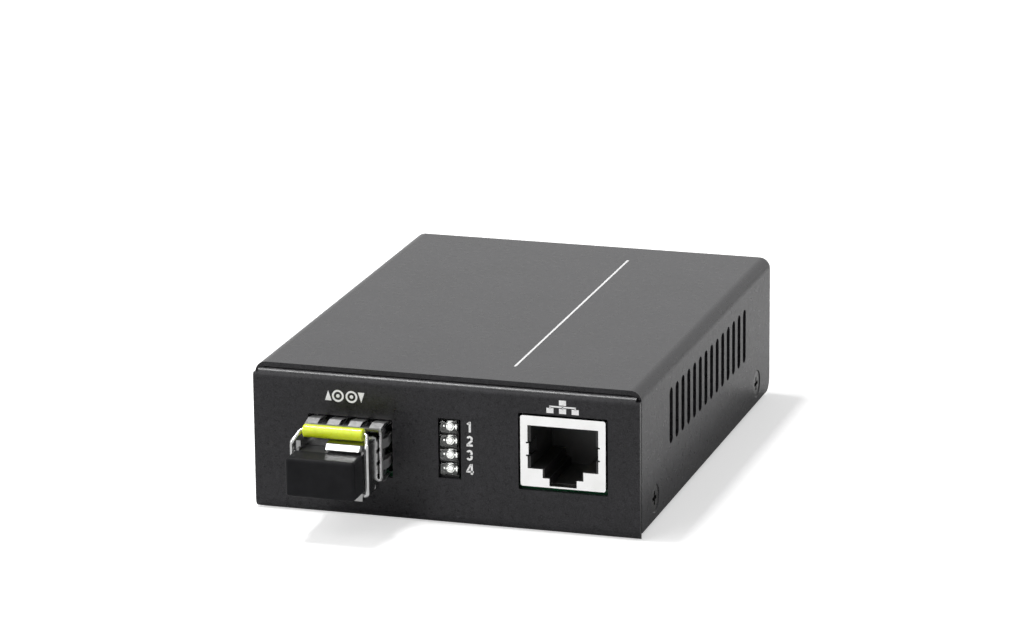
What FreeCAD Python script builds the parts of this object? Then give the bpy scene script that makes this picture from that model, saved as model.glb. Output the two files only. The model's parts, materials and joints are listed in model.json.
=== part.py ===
import FreeCAD, Part
import math
import os

# Fibre media converter: a folded steel case, its board, and the plugged optical module.
# Millimetres. +Z is up, the front panel faces -Y, the origin is the middle of the case's underside.

V = FreeCAD.Vector
RIGHT = V(1, 0, 0)
BACK = V(0, 1, 0)
UP = V(0, 0, 1)

# ---- case ----
case_width = 73.0
case_depth = 94.5
case_height = 27.6
chassis_sheet = 1.0
chassis_bend = 0.6            # inside radius of the chassis' folds
cover_sheet = 0.9
cover_bend = 1.2              # inside radius of the cover's folds
cover_gap = 0.25              # between the cover's sides and what stands inside them
lip_gap = 0.1                 # between the cover's top and the front lip under it
front_seam = 0.3              # between the front panel's back and the cover's front edge
skirt_lift = 1.0              # the cover's sides end this far above the underside
skirt_corner = 2.5            # rounded lower rear corners of the cover's sides
skirt_front_corner = 0.3      # and the lower front ones
rear_recess = 1.3             # the rear panel stands this far inside the cover's edge
rear_drop = 1.1               # the rear panel is this much lower than the front one
lip_length = 6.0
lip_inset = 1.3               # the lips are narrower than the panels by this on each side
corner_notch = 0.8            # relief notch at the front panel's upper corners
flange_height = 9.1
flange_end_gap = 2.0          # between a side flange's end and the panel next to it

# ---- vents ----
vent_count = 14
vent_pitch = 4.1
vent_width = 2.2
vent_length = 10.6
vent_bottom = 12.0            # height of the slots' lower ends
vent_shift = 0.5              # the row's middle lies this far behind the case's middle

# ---- case screws ----
screw_radius = 1.5
screw_head_radius = 2.5
screw_sink = 0.15             # the head lies this deep under the cover's surface
screw_cone_gap = 0.05
screw_length = 4.5
screw_end = 10.2              # from the panels' faces to a screw's axis
screw_height = 4.9
thread_gap = 0.02             # around a shank in its tapped hole
collar_wall = 0.9             # wall of the drawn collar round a tapped hole
collar_length = 1.0
recess_width = 0.7            # cross recess of every screw
recess_span = 2.6
recess_depth = 0.9

# ---- board ----
board_thickness = 1.6
board_side_gap = 1.2          # between the board's sides and the side flanges
board_end_gap = 0.7           # between the board's ends and the panels
board_corner = 1.0
standoff_height = 6.0
standoff_flats = 5.5          # across the hexagon's flats
standoff_spigot = 2.1         # radius of the part clinched in the floor
standoff_fit = 0.01           # around it in the floor's hole
standoff_cover = 0.1          # the spigot ends this far above the underside
fix_inset = 4.4               # from the board's edges to a fixing
fix_behind_jack = 20.5        # the right front fixing lies this far behind the board's front edge
fix_beside_power = 8.0        # from the power jack's side to the right rear fixing
fix_hole_radius = 1.65
pan_head_radius = 2.75
pan_head_height = 1.9
board_screw_length = 5.6

# ---- network jack (RJ45) ----
jack_from_side = 14.3         # from the case's right side to the jack's middle
jack_width = 15.9
jack_height = 13.25
jack_depth = 21.3
jack_sheet = 0.3
jack_fit = 0.05               # between the shield and its housing
jack_clearance = 0.4          # panel cut-out round the shield's top and sides
jack_foot_clearance = 0.75    # and under it
window_width = 13.2           # opening in the shield's face
window_top = 1.8              # from the shield's top to the window
window_height = 8.1           # the wide part
step_width = 7.6
step_height = 1.65
latch_width = 5.1
socket_inset = 0.5            # the housing's cavity is narrower than the window by this
socket_depth = 13.5
tab_height = 2.1              # grounding tab folded in at each side of the window
tab_length = 3.2
tab_notch = 0.3
tab_drop = 6.3                # from the shield's top to the tab's middle
tab_relief = 0.3              # room round the tab in the housing
prong_width = 1.6
prong_length = 3.0
prong_back = 8.0              # from the shield's face to its prongs
lip_depth = 2.0               # the shield's floor ends this far behind its face
contact_count = 8
contact_pitch = 1.02
contact_width = 0.46
contact_thickness = 0.3
contact_fold = 2.4            # from the housing's face to the contacts' fold
contact_reach = 8.6           # from the fold to a contact's free end
contact_drop = 3.6            # the free ends hang this far under the cavity's ceiling

# ---- status lights ----
led_x = 0.6
led_count = 4
led_pitch = 2.65
led_width = 3.3
led_height = 2.2
led_length = 4.0
led_first = 1.75              # from the board's top to the lowest light's middle
led_recess = 0.35             # the lights' faces lie this far behind the panel's face
led_side_wall = 0.1
led_pocket_gap = 0.03
seat_gap = 0.05               # between pieces that stand against each other
light_window_width = 4.3
light_window_height = 11.3
light_window_shift = 0.3      # the window's middle, to the right of the lights
light_window_lift = 0.1       # the window's lower edge, above the board's top
holder_depth = 5.6
holder_web = 1.2              # wall of the holder behind the lights
lead_size = 0.5
lead_bend = 0.5
lead_first = 2.2              # from the lights' backs to the lowest light's leads
lead_pitch = 1.3
lead_end = 1.0                # the leads end this far under the board

# ---- module cage ----
cage_from_side = 18.5         # from the case's left side to the cage's middle
cage_sheet = 0.3
cage_play = 0.25              # between the module's sides and the cage
cage_headroom = 0.3           # between the module's top and the cage
cage_corner = 0.5
cage_proud = 4.2              # the mouth stands this far in front of the panel
cage_length = 48.7
cage_panel_gap = 0.75         # panel cut-out round the cage
cage_pin_length = 2.6
cage_pin_width = 0.8
cage_pin_pitch = 11.0
latch_tab_width = 5.0
latch_tab_length = 8.4
latch_tab_drop = 0.65         # the tab lies this far under the cage's floor
latch_tab_slope = 1.6
latch_slot_gap = 0.3

# ---- cage spring fingers ----
finger_sheet = 0.15
finger_fit = 0.02             # between the fingers' strip and the cage
finger_tail = 0.6             # a finger ends this far behind the panel
finger_width = 2.3
finger_pitch = 4.06
side_finger_width = 1.7
side_finger_pitch = 4.0
finger_hem = 0.5
finger_front = 0.2            # level part of a finger at its hem
finger_crest = 2.0            # from the hem to the crest
finger_rise = 0.5             # the crest stands this much higher than the hem

# ---- module socket ----
socket_play = 0.15            # between the socket and the module's tray round it
socket_height = 5.6
socket_length = 9.6
socket_from_back = 3.0        # from the cage's back end
slot_wall = 0.55
slot_height = 1.9
slot_depth = 6.2
edge_contact_count = 10
edge_contact_pitch = 0.8
edge_contact_width = 0.4
edge_contact_thickness = 0.2
edge_contact_gap = 0.08       # between a contact and the card edge
contact_foot = 1.2            # length of a contact's foot behind the socket

# ---- power jack ----
power_from_side = 12.6        # from the case's right side to the jack's middle
power_width = 9.0
power_height = 11.0
power_depth = 14.2
power_front_block = 3.4
power_axis_height = 6.5       # the bore's axis, above the board
power_bore = 3.15
power_bore_depth = 9.5
power_pin_radius = 1.0
power_pin_recess = 2.6        # the pin's tip lies this far behind the face
power_clearance = 0.45
power_blade = 0.4
power_blade_width = 2.0

# ---- parts on the board ----
transformer_size = (12.6, 9.4, 6.0)
transformer_shift = 3.5       # the transformer's middle, to the left of the jack's
transformer_gap = 2.4         # between the jack's back and the transformer
chip_from_cage = 7.7          # from the cage's side to the chip
chip_shift = 6.0              # the chip's middle lies this far behind the case's middle
chip_side = 14.0
chip_height = 1.6
chip_lead_count = 14
chip_lead_pitch = 0.8
lead_foot = 0.2               # thickness of a surface-mount lead
lead_reach = 1.2
capacitor_from_edge = 6.5     # from the board's rear edge to the capacitors' axes
capacitor_from_screw = 9.5    # from the rear fixing to the input capacitor's axis
capacitor_gap = 3.75
capacitor_radius = 4.0
capacitor_height = 10.5
small_capacitor_radius = 3.15
small_capacitor_height = 7.7
crystal_gap = 6.2             # between the chip and the crystal
crystal_length = 11.0
crystal_width = 4.6
crystal_height = 3.5
crystal_flange = 0.35         # the can's flange stands out this far
inductor_gap = 5.25           # between the regulator and the inductor
inductor_side = 7.0
inductor_height = 3.4
regulator_from_edge = 19.0    # from the board's rear edge to the regulator's middle
regulator_from_power = 11.4   # from the power jack's side to the regulator's middle
regulator_size = (6.5, 6.1, 2.3)
passive_size = (2.0, 1.25, 0.6)
passive_pitch = 2.6
passive_gap = 3.0             # between the chip and a row of small parts
passive_count = 6

# ---- optical module ----
module_width = 13.5
module_height = 8.5
module_lift = 0.1             # running gap above the cage's floor
module_length = 46.2          # from the nose's shoulder to the back end
module_wall = 0.75
module_round = 0.3            # the tray's long edges
module_cover_sheet = 0.5
module_cover_skirt = 6.4
module_cover_start = 4.0      # behind the shoulder
shoulder_gap = 0.05           # between the nose's shoulder and the cage's mouth
nose_length = 7.95
nose_bottom_drop = 1.9        # the nose reaches this far under the module's floor
nose_top_drop = 0.28          # the nose's top lies this far under the module's top
lintel_height = 1.15          # the bar over the ports, at the nose's top
lintel_back = 1.15            # its face lies this far behind the nose's face
lintel_gap = 0.4              # slot between the bar and the ports' frame
lintel_gap_depth = 3.0
nose_edge = 0.5
nose_groove = 0.35            # grooves for the bail's legs in the nose's sides
nose_groove_back = 1.5        # the grooves reach this far behind the bail's pivot
card_side_gap = 0.2           # between the module's board and the tray
card_thickness = 1.0
driver_side = 5.2             # the driver chip on the module's board
driver_height = 0.9
driver_back = 8.0             # from the board's front edge to the chip
card_height = 2.6             # card's middle above the module's floor
card_edge_play = 0.15         # between the card edge and its slot's ends
card_edge_length = 7.0
port_lift = 3.6               # the optical axes, above the module's floor
port_wall = 0.85              # the nose's wall beside the port
port_height = 5.8
port_depth = 8.6
port_bore_width = 5.0
port_bore_height = 5.0
can_gap = 0.025               # between a can and the tray's wall
port_fit = 0.05
can_radius = 2.3
can_length = 6.5
barrel_radius = 1.1
barrel_length = 4.5
catch_width = 4.9             # notch over the left port, for a connector's catch
catch_depth = 4.2
collar_sheet = 0.2
collar_fit = 0.02             # under the collar, in its seat
collar_front = 0.95           # the fingers' tips stand this far in front of the nose's shoulder
collar_flat = 1.2             # level part behind a tip
collar_crest = 2.4            # from a tip to its finger's crest
collar_bulge = 0.15
collar_bend = 0.4
collar_finger_width = 1.6
collar_finger_pitch = 2.3
collar_hoop = 0.7             # width of the hoop that carries the fingers
collar_hoop_back = 3.4        # from the shoulder to the hoop's back edge
collar_top_spread = 1.6       # the top fingers' pitch over the side ones'
collar_foot = 1.1             # the hoop's sides end this far above the module's floor

# ---- bail ----
wire_radius = 0.42
bail_leg_stand = 0.3          # from the nose's side to a leg's axis
bail_pivot_back = 0.85        # the pivot lies this far behind the nose's face
bail_pivot_lift = 0.9         # and this far above the nose's underside
bail_pivot_depth = 1.3        # how far the legs' ends reach into the nose
bail_pivot_gap = 0.05
bail_leg = 9.0
bail_sleeve_back = 2.5        # the sleeve's axis, behind the legs
bail_bend = 0.55
sleeve_radius = 1.18
sleeve_length = 11.4
sleeve_gap = 0.1              # between the sleeve and the nose's top
sleeve_fit = 0.02

# ---- latch ----
latch_width_lever = 4.6
latch_plate = 0.6
latch_plate_drop = 0.3        # the plate hangs this far under the module's floor
latch_pin_radius = 0.45
latch_hub_radius = 0.85
latch_pin_back = 6.0          # behind the nose's face
latch_pin_lift = 0.9          # above the nose's underside
latch_pin_gap = 0.05          # around the pin in the lever's hub
latch_post_length = 1.4
latch_post_width = 2.4
latch_post_back = 1.0         # from the post to the lever's back end
latch_post_drop = 0.65        # the post reaches this far under the module's floor
latch_arm_back = 7.6          # from the pin to the lever's back end
latch_arm_front = 3.6
latch_channel_gap = 0.25
latch_swing_room = 0.85       # room over the lever for its rocking

# ---- dust plug ----
plug_inset = 0.2              # the plug is narrower than the nose by this on each side
plug_height = 7.3
plug_lift = 1.3               # the plug's lower edge, above the nose's underside
plug_thickness = 4.75
plug_round = 0.7
plug_gap = 0.05               # between the plug and the nose's face
plug_post_length = 6.0
plug_post_gap = 0.25
plug_bore_gap = 0.4           # round the optical barrels
plug_wall = 0.5               # the posts' bores begin this far behind the nose's face

# ---- worked out from the sizes above ----
front_y = -case_depth / 2
rear_y = case_depth / 2
rear_panel_y = rear_y - rear_recess
inner_half = case_width / 2 - cover_sheet - cover_gap
front_top = case_height - cover_sheet - lip_gap
rear_top = front_top - rear_drop
cover_front_y = front_y + chassis_sheet + front_seam
flange_inner = inner_half - chassis_sheet
flange_front_y = cover_front_y + flange_end_gap
flange_rear_y = rear_panel_y - chassis_sheet - flange_end_gap

board_half = flange_inner - board_side_gap
board_bottom = chassis_sheet + standoff_height
board_top = board_bottom + board_thickness
board_front_y = front_y + chassis_sheet + board_end_gap
board_rear_y = rear_panel_y - chassis_sheet - board_end_gap

cage_x = -case_width / 2 + cage_from_side
cage_width = module_width + 2 * (cage_play + cage_sheet)
cage_height = module_height + module_lift + cage_headroom + 2 * cage_sheet
cage_mouth_y = front_y - cage_proud
cage_back_y = cage_mouth_y + cage_length
cage_bottom = board_top
cage_top = cage_bottom + cage_height
cage_floor = cage_bottom + cage_sheet

shoulder_y = cage_mouth_y - shoulder_gap
nose_y = shoulder_y - nose_length
module_back_y = shoulder_y + module_length
module_bottom = cage_floor + module_lift
module_top = module_bottom + module_height
nose_bottom = module_bottom - nose_bottom_drop
nose_top = module_top - nose_top_drop
card_z = module_bottom + card_height

socket_back_y = cage_back_y - socket_from_back
socket_front_y = socket_back_y - socket_length
card_end_y = socket_front_y + slot_depth - 0.6

tray_half = module_width / 2 - module_cover_sheet - seat_gap - module_wall
port_z = module_bottom + port_lift
port_width = module_width - 2 * port_wall
port_pitch = 2 * (tray_half - can_gap - can_radius)
socket_width = 2 * (tray_half - socket_play)
slot_width = socket_width - 2 * slot_wall
card_edge_width = slot_width - 2 * card_edge_play
plug_width = module_width - 2 * plug_inset
plug_z = nose_bottom + plug_lift + plug_height / 2
bail_half_width = module_width / 2 + bail_leg_stand
bail_pivot_y = nose_y + bail_pivot_back
bail_pivot_z = nose_bottom + bail_pivot_lift
sleeve_y = bail_pivot_y + bail_sleeve_back
sleeve_z = nose_top + sleeve_gap + sleeve_radius
latch_pin_y = nose_y + latch_pin_back
latch_pin_z = nose_bottom + latch_pin_lift
latch_plate_top = module_bottom - latch_plate_drop + latch_plate
latch_post_front_y = latch_pin_y + latch_arm_back - latch_post_back - latch_post_length

jack_x = case_width / 2 - jack_from_side
jack_front_y = front_y
jack_back_y = jack_front_y + jack_depth
prong_y = jack_front_y + prong_back
light_face_y = front_y + led_recess
holder_front_y = front_y + chassis_sheet + seat_gap
holder_back_y = holder_front_y + holder_depth
power_x = case_width / 2 - power_from_side
power_axis_z = board_top + power_axis_height


# ---- general forms ----
def box(x0, x1, y0, y1, z0, z1):
    return Part.makeBox(x1 - x0, y1 - y0, z1 - z0, V(x0, y0, z0))


def centred_box(x, half, y0, y1, z0, z1):
    return box(x - half, x + half, y0, y1, z0, z1)


def rod(start, direction, radius, length):
    return Part.makeCylinder(radius, length, start, direction)


def fused(shapes):
    whole = shapes[0].multiFuse(shapes[1:]) if len(shapes) > 1 else shapes[0]
    return whole.removeSplitter()


def grouped(shapes):
    return shapes[0] if len(shapes) == 1 else Part.makeCompound(shapes)


def prism(points, direction):
    corners = points + [points[0]]
    return Part.Face(Part.makePolygon(corners)).extrude(direction)


def rounded_box(x0, x1, y0, y1, z0, z1, radius, along):
    """A box with its four edges along one direction rounded."""
    block = box(x0, x1, y0, y1, z0, z1)
    chosen = []
    for edge in block.Edges:
        line = edge.Vertexes[1].Point.sub(edge.Vertexes[0].Point)
        if abs(line.normalize().dot(along)) > 0.99:
            chosen.append(edge)
    return block.makeFillet(radius, chosen)


def rounded_path(points, radius):
    """Line and arc pieces through the points, each corner rounded with the radius.

    Every piece is (kind, start, end, middle of the arc, centre of the arc).
    """
    pieces = []
    last = points[0]
    for i in range(1, len(points) - 1):
        corner = points[i]
        before = points[i - 1].sub(corner)
        after = points[i + 1].sub(corner)
        before.normalize()
        after.normalize()
        half_angle = before.getAngle(after) / 2
        reach = radius / math.tan(half_angle)
        start = corner.add(V(before).multiply(reach))
        end = corner.add(V(after).multiply(reach))
        inward = before.add(after)
        inward.normalize()
        centre = corner.add(V(inward).multiply(radius / math.sin(half_angle)))
        middle = centre.sub(V(inward).multiply(radius))
        pieces.append(("line", last, start, None, None))
        pieces.append(("arc", start, end, middle, centre))
        last = end
    pieces.append(("line", last, points[-1], None, None))
    return pieces


def folded_strip(points, thickness, inside_radius, normal, width):
    """Sheet folded along the points of its middle line, as wide as the extrusion along normal."""
    axis = V(normal)
    axis.normalize()
    radius = inside_radius + thickness / 2
    pieces = rounded_path(points, radius)
    sides = ([], [])
    for kind, start, end, middle, centre in pieces:
        for k, sign in enumerate((1, -1)):
            if kind == "line":
                if start.distanceToPoint(end) < 1e-6:
                    continue
                along = end.sub(start)
                along.normalize()
                shift = axis.cross(along).multiply(sign * thickness / 2)
                sides[k].append(Part.LineSegment(start.add(shift), end.add(shift)).toShape())
            else:
                chord = end.sub(start)
                outward = middle.sub(centre).dot(axis.cross(chord)) * sign > 0
                new_radius = radius + (thickness / 2 if outward else -thickness / 2)
                scale = new_radius / radius
                moved = [centre.add(p.sub(centre).multiply(scale)) for p in (start, middle, end)]
                sides[k].append(Part.Arc(moved[0], moved[1], moved[2]).toShape())
    first, second = Part.Wire(sides[0]), Part.Wire(sides[1])
    ends = []
    for k in (0, -1):
        a = first.OrderedVertexes[k].Point
        b = second.OrderedVertexes[k].Point
        ends.append(Part.LineSegment(a, b).toShape())
    outline = Part.Wire(Part.__sortEdges__(first.Edges + second.Edges + ends))
    return Part.Face(outline).extrude(V(axis).multiply(width))


def round_bar(points, bend_radius, bar_radius):
    """Round wire bent through the points: rods joined by turned bends."""
    lengths = []
    for kind, start, end, middle, centre in rounded_path(points, bend_radius):
        if kind == "line":
            along = end.sub(start)
            lengths.append(rod(start, along, bar_radius, along.Length))
        else:
            first = start.sub(centre)
            axis = first.cross(end.sub(centre))
            direction = axis.cross(first)
            section = Part.Face(Part.Wire([Part.makeCircle(bar_radius, start, direction)]))
            angle = math.degrees(first.getAngle(end.sub(centre)))
            lengths.append(section.revolve(centre, axis, angle))
    return fused(lengths)


def obround_cut(x, y, z0, z1, width, reach):
    """A slot with round ends, standing upright in a wall across X."""
    radius = width / 2
    low = rod(V(x - reach / 2, y, z0 + radius), RIGHT, radius, reach)
    high = rod(V(x - reach / 2, y, z1 - radius), RIGHT, radius, reach)
    straight = centred_box(x, reach / 2, y - radius, y + radius, z0 + radius, z1 - radius)
    return fused([low, high, straight])


def cross_recess(tip, inward):
    """Cross-shaped driver recess that starts at the head's top and goes inward."""
    depth = V(inward).multiply(recess_depth)
    side = UP if abs(inward.z) < 0.5 else BACK
    other = inward.cross(side)
    cuts = []
    for a, b in ((side, other), (other, side)):
        u = V(a).multiply(recess_span / 2)
        w = V(b).multiply(recess_width / 2)
        corners = [tip.add(u).add(w), tip.add(u).sub(w), tip.sub(u).sub(w), tip.sub(u).add(w)]
        cuts.append(prism(corners, depth))
    return fused(cuts)


# ---- places shared by several pieces ----
def screw_rows():
    return (front_y + screw_end, rear_y - screw_end)


def fixing_points():
    left = -board_half + fix_inset
    right = board_half - fix_inset
    front = board_front_y + fix_inset
    rear = board_rear_y - fix_inset
    beside_power = power_x - power_width / 2 - fix_beside_power
    return ((left, front), (right, front + fix_behind_jack), (left, rear), (beside_power, rear))


def led_heights():
    return [board_top + led_first + k * led_pitch for k in range(led_count)]


def cage_pin_rows():
    first = board_front_y + 3.0
    count = int((cage_back_y - first) // cage_pin_pitch) + 1
    return [first + k * cage_pin_pitch for k in range(count)]


# ---- case ----
def chassis_profile():
    t = chassis_sheet / 2
    points = [
        V(0, front_y + lip_length, front_top - t),
        V(0, front_y + t, front_top - t),
        V(0, front_y + t, t),
        V(0, rear_panel_y - t, t),
        V(0, rear_panel_y - t, rear_top - t),
        V(0, rear_panel_y - lip_length, rear_top - t),
    ]
    strip = folded_strip(points, chassis_sheet, chassis_bend, RIGHT, case_width)
    strip.translate(V(-case_width / 2, 0, 0))
    return strip


def side_flange(side):
    t = chassis_sheet / 2
    x = inner_half - t
    points = [
        V(side * (x - 2.0), flange_front_y, t),
        V(side * x, flange_front_y, t),
        V(side * x, flange_front_y, flange_height),
    ]
    flange = folded_strip(points, chassis_sheet, chassis_bend, BACK, flange_rear_y - flange_front_y)
    for y in screw_rows():
        start = V(side * flange_inner, y, screw_height)
        flange = flange.fuse(rod(start, V(-side, 0, 0), screw_radius + collar_wall, collar_length))
    for y in screw_rows():
        start = V(side * (inner_half + 1), y, screw_height)
        reach = chassis_sheet + collar_length + 2
        flange = flange.cut(rod(start, V(-side, 0, 0), screw_radius + thread_gap, reach))
    return flange


def front_panel_cuts():
    through = (front_y - 1, front_y + chassis_sheet + 0.4)
    gap = cage_panel_gap
    cage_cut = rounded_box(
        cage_x - cage_width / 2 - gap, cage_x + cage_width / 2 + gap, *through,
        cage_bottom - gap, cage_top + gap, 0.3, BACK)
    x = led_x + light_window_shift
    low = board_top + light_window_lift
    light_cut = centred_box(x, light_window_width / 2, *through, low, low + light_window_height)
    gap = jack_clearance
    jack_cut = rounded_box(
        jack_x - jack_width / 2 - gap, jack_x + jack_width / 2 + gap, *through,
        board_top - jack_foot_clearance, board_top + jack_height + gap, 0.3, BACK)
    return [cage_cut, light_cut, jack_cut]


def rear_panel_cut():
    gap = power_clearance
    return centred_box(
        power_x, power_width / 2 + gap, rear_panel_y - chassis_sheet - 0.4, rear_panel_y + 1,
        board_top - gap, board_top + power_height + gap)


def chassis():
    sheet = chassis_profile()
    back_of_panel = front_y + chassis_sheet + 0.05
    bend_zone = inner_half - chassis_bend - chassis_sheet
    cuts = front_panel_cuts() + [rear_panel_cut()]
    for side in (-1, 1):
        # behind the front panel the sheet fits between the cover's sides
        x0, x1 = sorted((side * inner_half, side * case_width))
        cuts.append(box(x0, x1, back_of_panel, rear_y, -1, case_height))
        # the lips clear the cover's rounded folds
        x0, x1 = sorted((side * (inner_half - lip_inset), side * case_width))
        cuts.append(box(x0, x1, cover_front_y - front_seam / 2, front_y + lip_length + 1,
                        front_top - 2 * chassis_sheet, case_height))
        cuts.append(box(x0, x1, rear_panel_y - lip_length - 1, rear_panel_y + 1,
                        rear_top - chassis_sheet - chassis_bend, case_height))
        # relief notch at the front panel's upper corner
        x0, x1 = sorted((side * (case_width / 2 - corner_notch), side * case_width))
        cuts.append(box(x0, x1, front_y - 1, cover_front_y, front_top - corner_notch, case_height))
        # room for the side flange's fold, with a relief slit at each end
        x0, x1 = sorted((side * bend_zone, side * case_width))
        cuts.append(box(x0, x1, flange_front_y - chassis_sheet / 2, flange_rear_y + chassis_sheet / 2,
                        -1, chassis_sheet + 1))
    for x, y in fixing_points():
        cuts.append(rod(V(x, y, -1), UP, standoff_spigot + standoff_fit, chassis_sheet + 2))
    sheet = sheet.cut(grouped(cuts))
    return fused([sheet, side_flange(-1), side_flange(1)])


def countersink(side, y):
    """The sunk seat of one case screw in the cover's side."""
    outer = screw_head_radius + screw_sink + screw_cone_gap
    start = V(side * case_width / 2, y, screw_height)
    return Part.makeCone(outer, outer - cover_sheet - 0.2, cover_sheet + 0.2, start, V(-side, 0, 0))


def skirt_corners(sheet, end_y):
    """The short lower edges of the cover's sides at one end."""
    corners = []
    for edge in sheet.Edges:
        across = edge.Vertexes[0].Point.sub(edge.Vertexes[-1].Point)
        middle = edge.CenterOfMass
        at_corner = abs(middle.y - end_y) < 0.01 and abs(middle.z - skirt_lift) < 0.01
        if at_corner and abs(across.x) > cover_sheet / 2:
            corners.append(edge)
    return corners


def cover():
    t = cover_sheet / 2
    x = case_width / 2 - t
    top = case_height - t
    points = [
        V(-x, cover_front_y, skirt_lift),
        V(-x, cover_front_y, top),
        V(x, cover_front_y, top),
        V(x, cover_front_y, skirt_lift),
    ]
    sheet = folded_strip(points, cover_sheet, cover_bend, BACK, rear_y - cover_front_y)
    for end_y, radius in ((cover_front_y, skirt_front_corner), (rear_y, skirt_corner)):
        sheet = sheet.makeFillet(radius, skirt_corners(sheet, end_y))
    cuts = []
    vent_top = vent_bottom + vent_length
    for side in (-1, 1):
        for k in range(vent_count):
            y = vent_shift + (k - (vent_count - 1) / 2) * vent_pitch
            cuts.append(obround_cut(side * x, y, vent_bottom, vent_top, vent_width, 3 * cover_sheet))
        for y in screw_rows():
            cuts.append(countersink(side, y))
    return sheet.cut(grouped(cuts))


def case_screw(side, y):
    """Countersunk screw, drawn along its axis as one turned profile."""
    head_depth = screw_head_radius - screw_radius
    x0 = case_width / 2 - screw_sink
    profile = [
        V(x0, 0, 0),
        V(x0, screw_head_radius, 0),
        V(x0 - head_depth, screw_radius, 0),
        V(x0 - screw_length + 0.4, screw_radius, 0),
        V(x0 - screw_length, screw_radius - 0.4, 0),
        V(x0 - screw_length, 0, 0),
    ]
    face = Part.Face(Part.makePolygon(profile + [profile[0]]))
    screw = face.revolve(V(0, 0, 0), RIGHT, 360)
    screw = screw.cut(cross_recess(V(x0, 0, 0), V(-1, 0, 0)))
    if side < 0:
        screw.rotate(V(0, 0, 0), UP, 180)
    screw.translate(V(0, y, screw_height))
    return screw


def case_screws():
    return grouped([case_screw(side, y) for side in (-1, 1) for y in screw_rows()])


# ---- board and its fixings ----
def standoff(x, y):
    corner = standoff_flats / math.sqrt(3)
    turns = [k * math.pi / 3 for k in range(6)]
    points = [V(x + corner * math.cos(a), y + corner * math.sin(a), chassis_sheet) for a in turns]
    body = prism(points, V(0, 0, standoff_height))
    spigot = rod(V(x, y, standoff_cover), UP, standoff_spigot, chassis_sheet)
    hole = rod(V(x, y, board_bottom), V(0, 0, -1), screw_radius + thread_gap, standoff_height - 0.6)
    return fused([body, spigot]).cut(hole)


def board_standoffs():
    return grouped([standoff(x, y) for x, y in fixing_points()])


def board_screw(x, y):
    head = rod(V(x, y, board_top), UP, pan_head_radius, pan_head_height)
    top_edge = [e for e in head.Edges if abs(e.CenterOfMass.z - board_top - pan_head_height) < 0.01]
    head = head.makeFillet(0.7, top_edge)
    shank = rod(V(x, y, board_top + 0.2), V(0, 0, -1), screw_radius, board_screw_length)
    screw = fused([head, shank])
    return screw.cut(cross_recess(V(x, y, board_top + pan_head_height), V(0, 0, -1)))


def board_screws():
    return grouped([board_screw(x, y) for x, y in fixing_points()])


def through_holes():
    """Every lead, prong and pin that passes through the board: (x, y, radius)."""
    holes = []
    for side in (-1, 1):
        holes.append((jack_x + side * (jack_width - jack_sheet) / 2, prong_y, prong_width / 2 + 0.15))
        for y in cage_pin_rows():
            holes.append((cage_x + side * (cage_width - cage_sheet) / 2, y, cage_pin_width / 2 + 0.15))
        for k in range(led_count):
            holes.append((led_x + side * led_width / 4, led_lead_y(k), lead_size / 2 + 0.2))
    holes.append((power_x, power_pin_tail_y(), power_blade_width / 2 + 0.2))
    holes.append((power_x, power_spring_tail_y(), power_blade_width / 2 + 0.2))
    return holes


def main_board():
    plate = rounded_box(-board_half, board_half, board_front_y, board_rear_y,
                        board_bottom, board_top, board_corner, UP)
    cuts = []
    for x, y in fixing_points():
        cuts.append(rod(V(x, y, board_bottom - 1), UP, fix_hole_radius, board_thickness + 2))
    for x, y, radius in through_holes():
        cuts.append(rod(V(x, y, board_bottom - 1), UP, radius, board_thickness + 2))
    # notch under the cage's latch tab
    cuts.append(centred_box(cage_x, latch_tab_width / 2 + 0.6, board_front_y - 1,
                            cage_mouth_y + latch_tab_length + 0.6, board_bottom - 1, board_top + 1))
    return plate.cut(grouped(cuts))


# ---- network jack ----
def window_outline(y, side_inset, drop_inset):
    """The stepped opening for a plug with its catch below, as points in the plane at y."""
    top = board_top + jack_height - window_top
    wide = window_width / 2 - side_inset
    shelf = top - window_height + drop_inset
    step = shelf - step_height
    halves = ((wide, top), (wide, shelf), (step_width / 2 - side_inset / 2, shelf),
              (step_width / 2 - side_inset / 2, step), (latch_width / 2, step),
              (latch_width / 2, board_top + jack_sheet + drop_inset))
    right = [V(jack_x + x, y, z) for x, z in halves]
    left = [V(jack_x - x, y, z) for x, z in reversed(halves)]
    return right + left


def ground_tab(side):
    t = jack_sheet / 2
    x = jack_x + side * (window_width / 2)
    z = board_top + jack_height - tab_drop
    points = [
        V(x + side * 0.8, jack_front_y + t, z - tab_height / 2),
        V(x - side * 0.05, jack_front_y + t, z - tab_height / 2),
        V(x - side * 0.35, jack_front_y + tab_length, z - tab_height / 2),
    ]
    return folded_strip(points, jack_sheet, 0.1, UP, tab_height)


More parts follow.
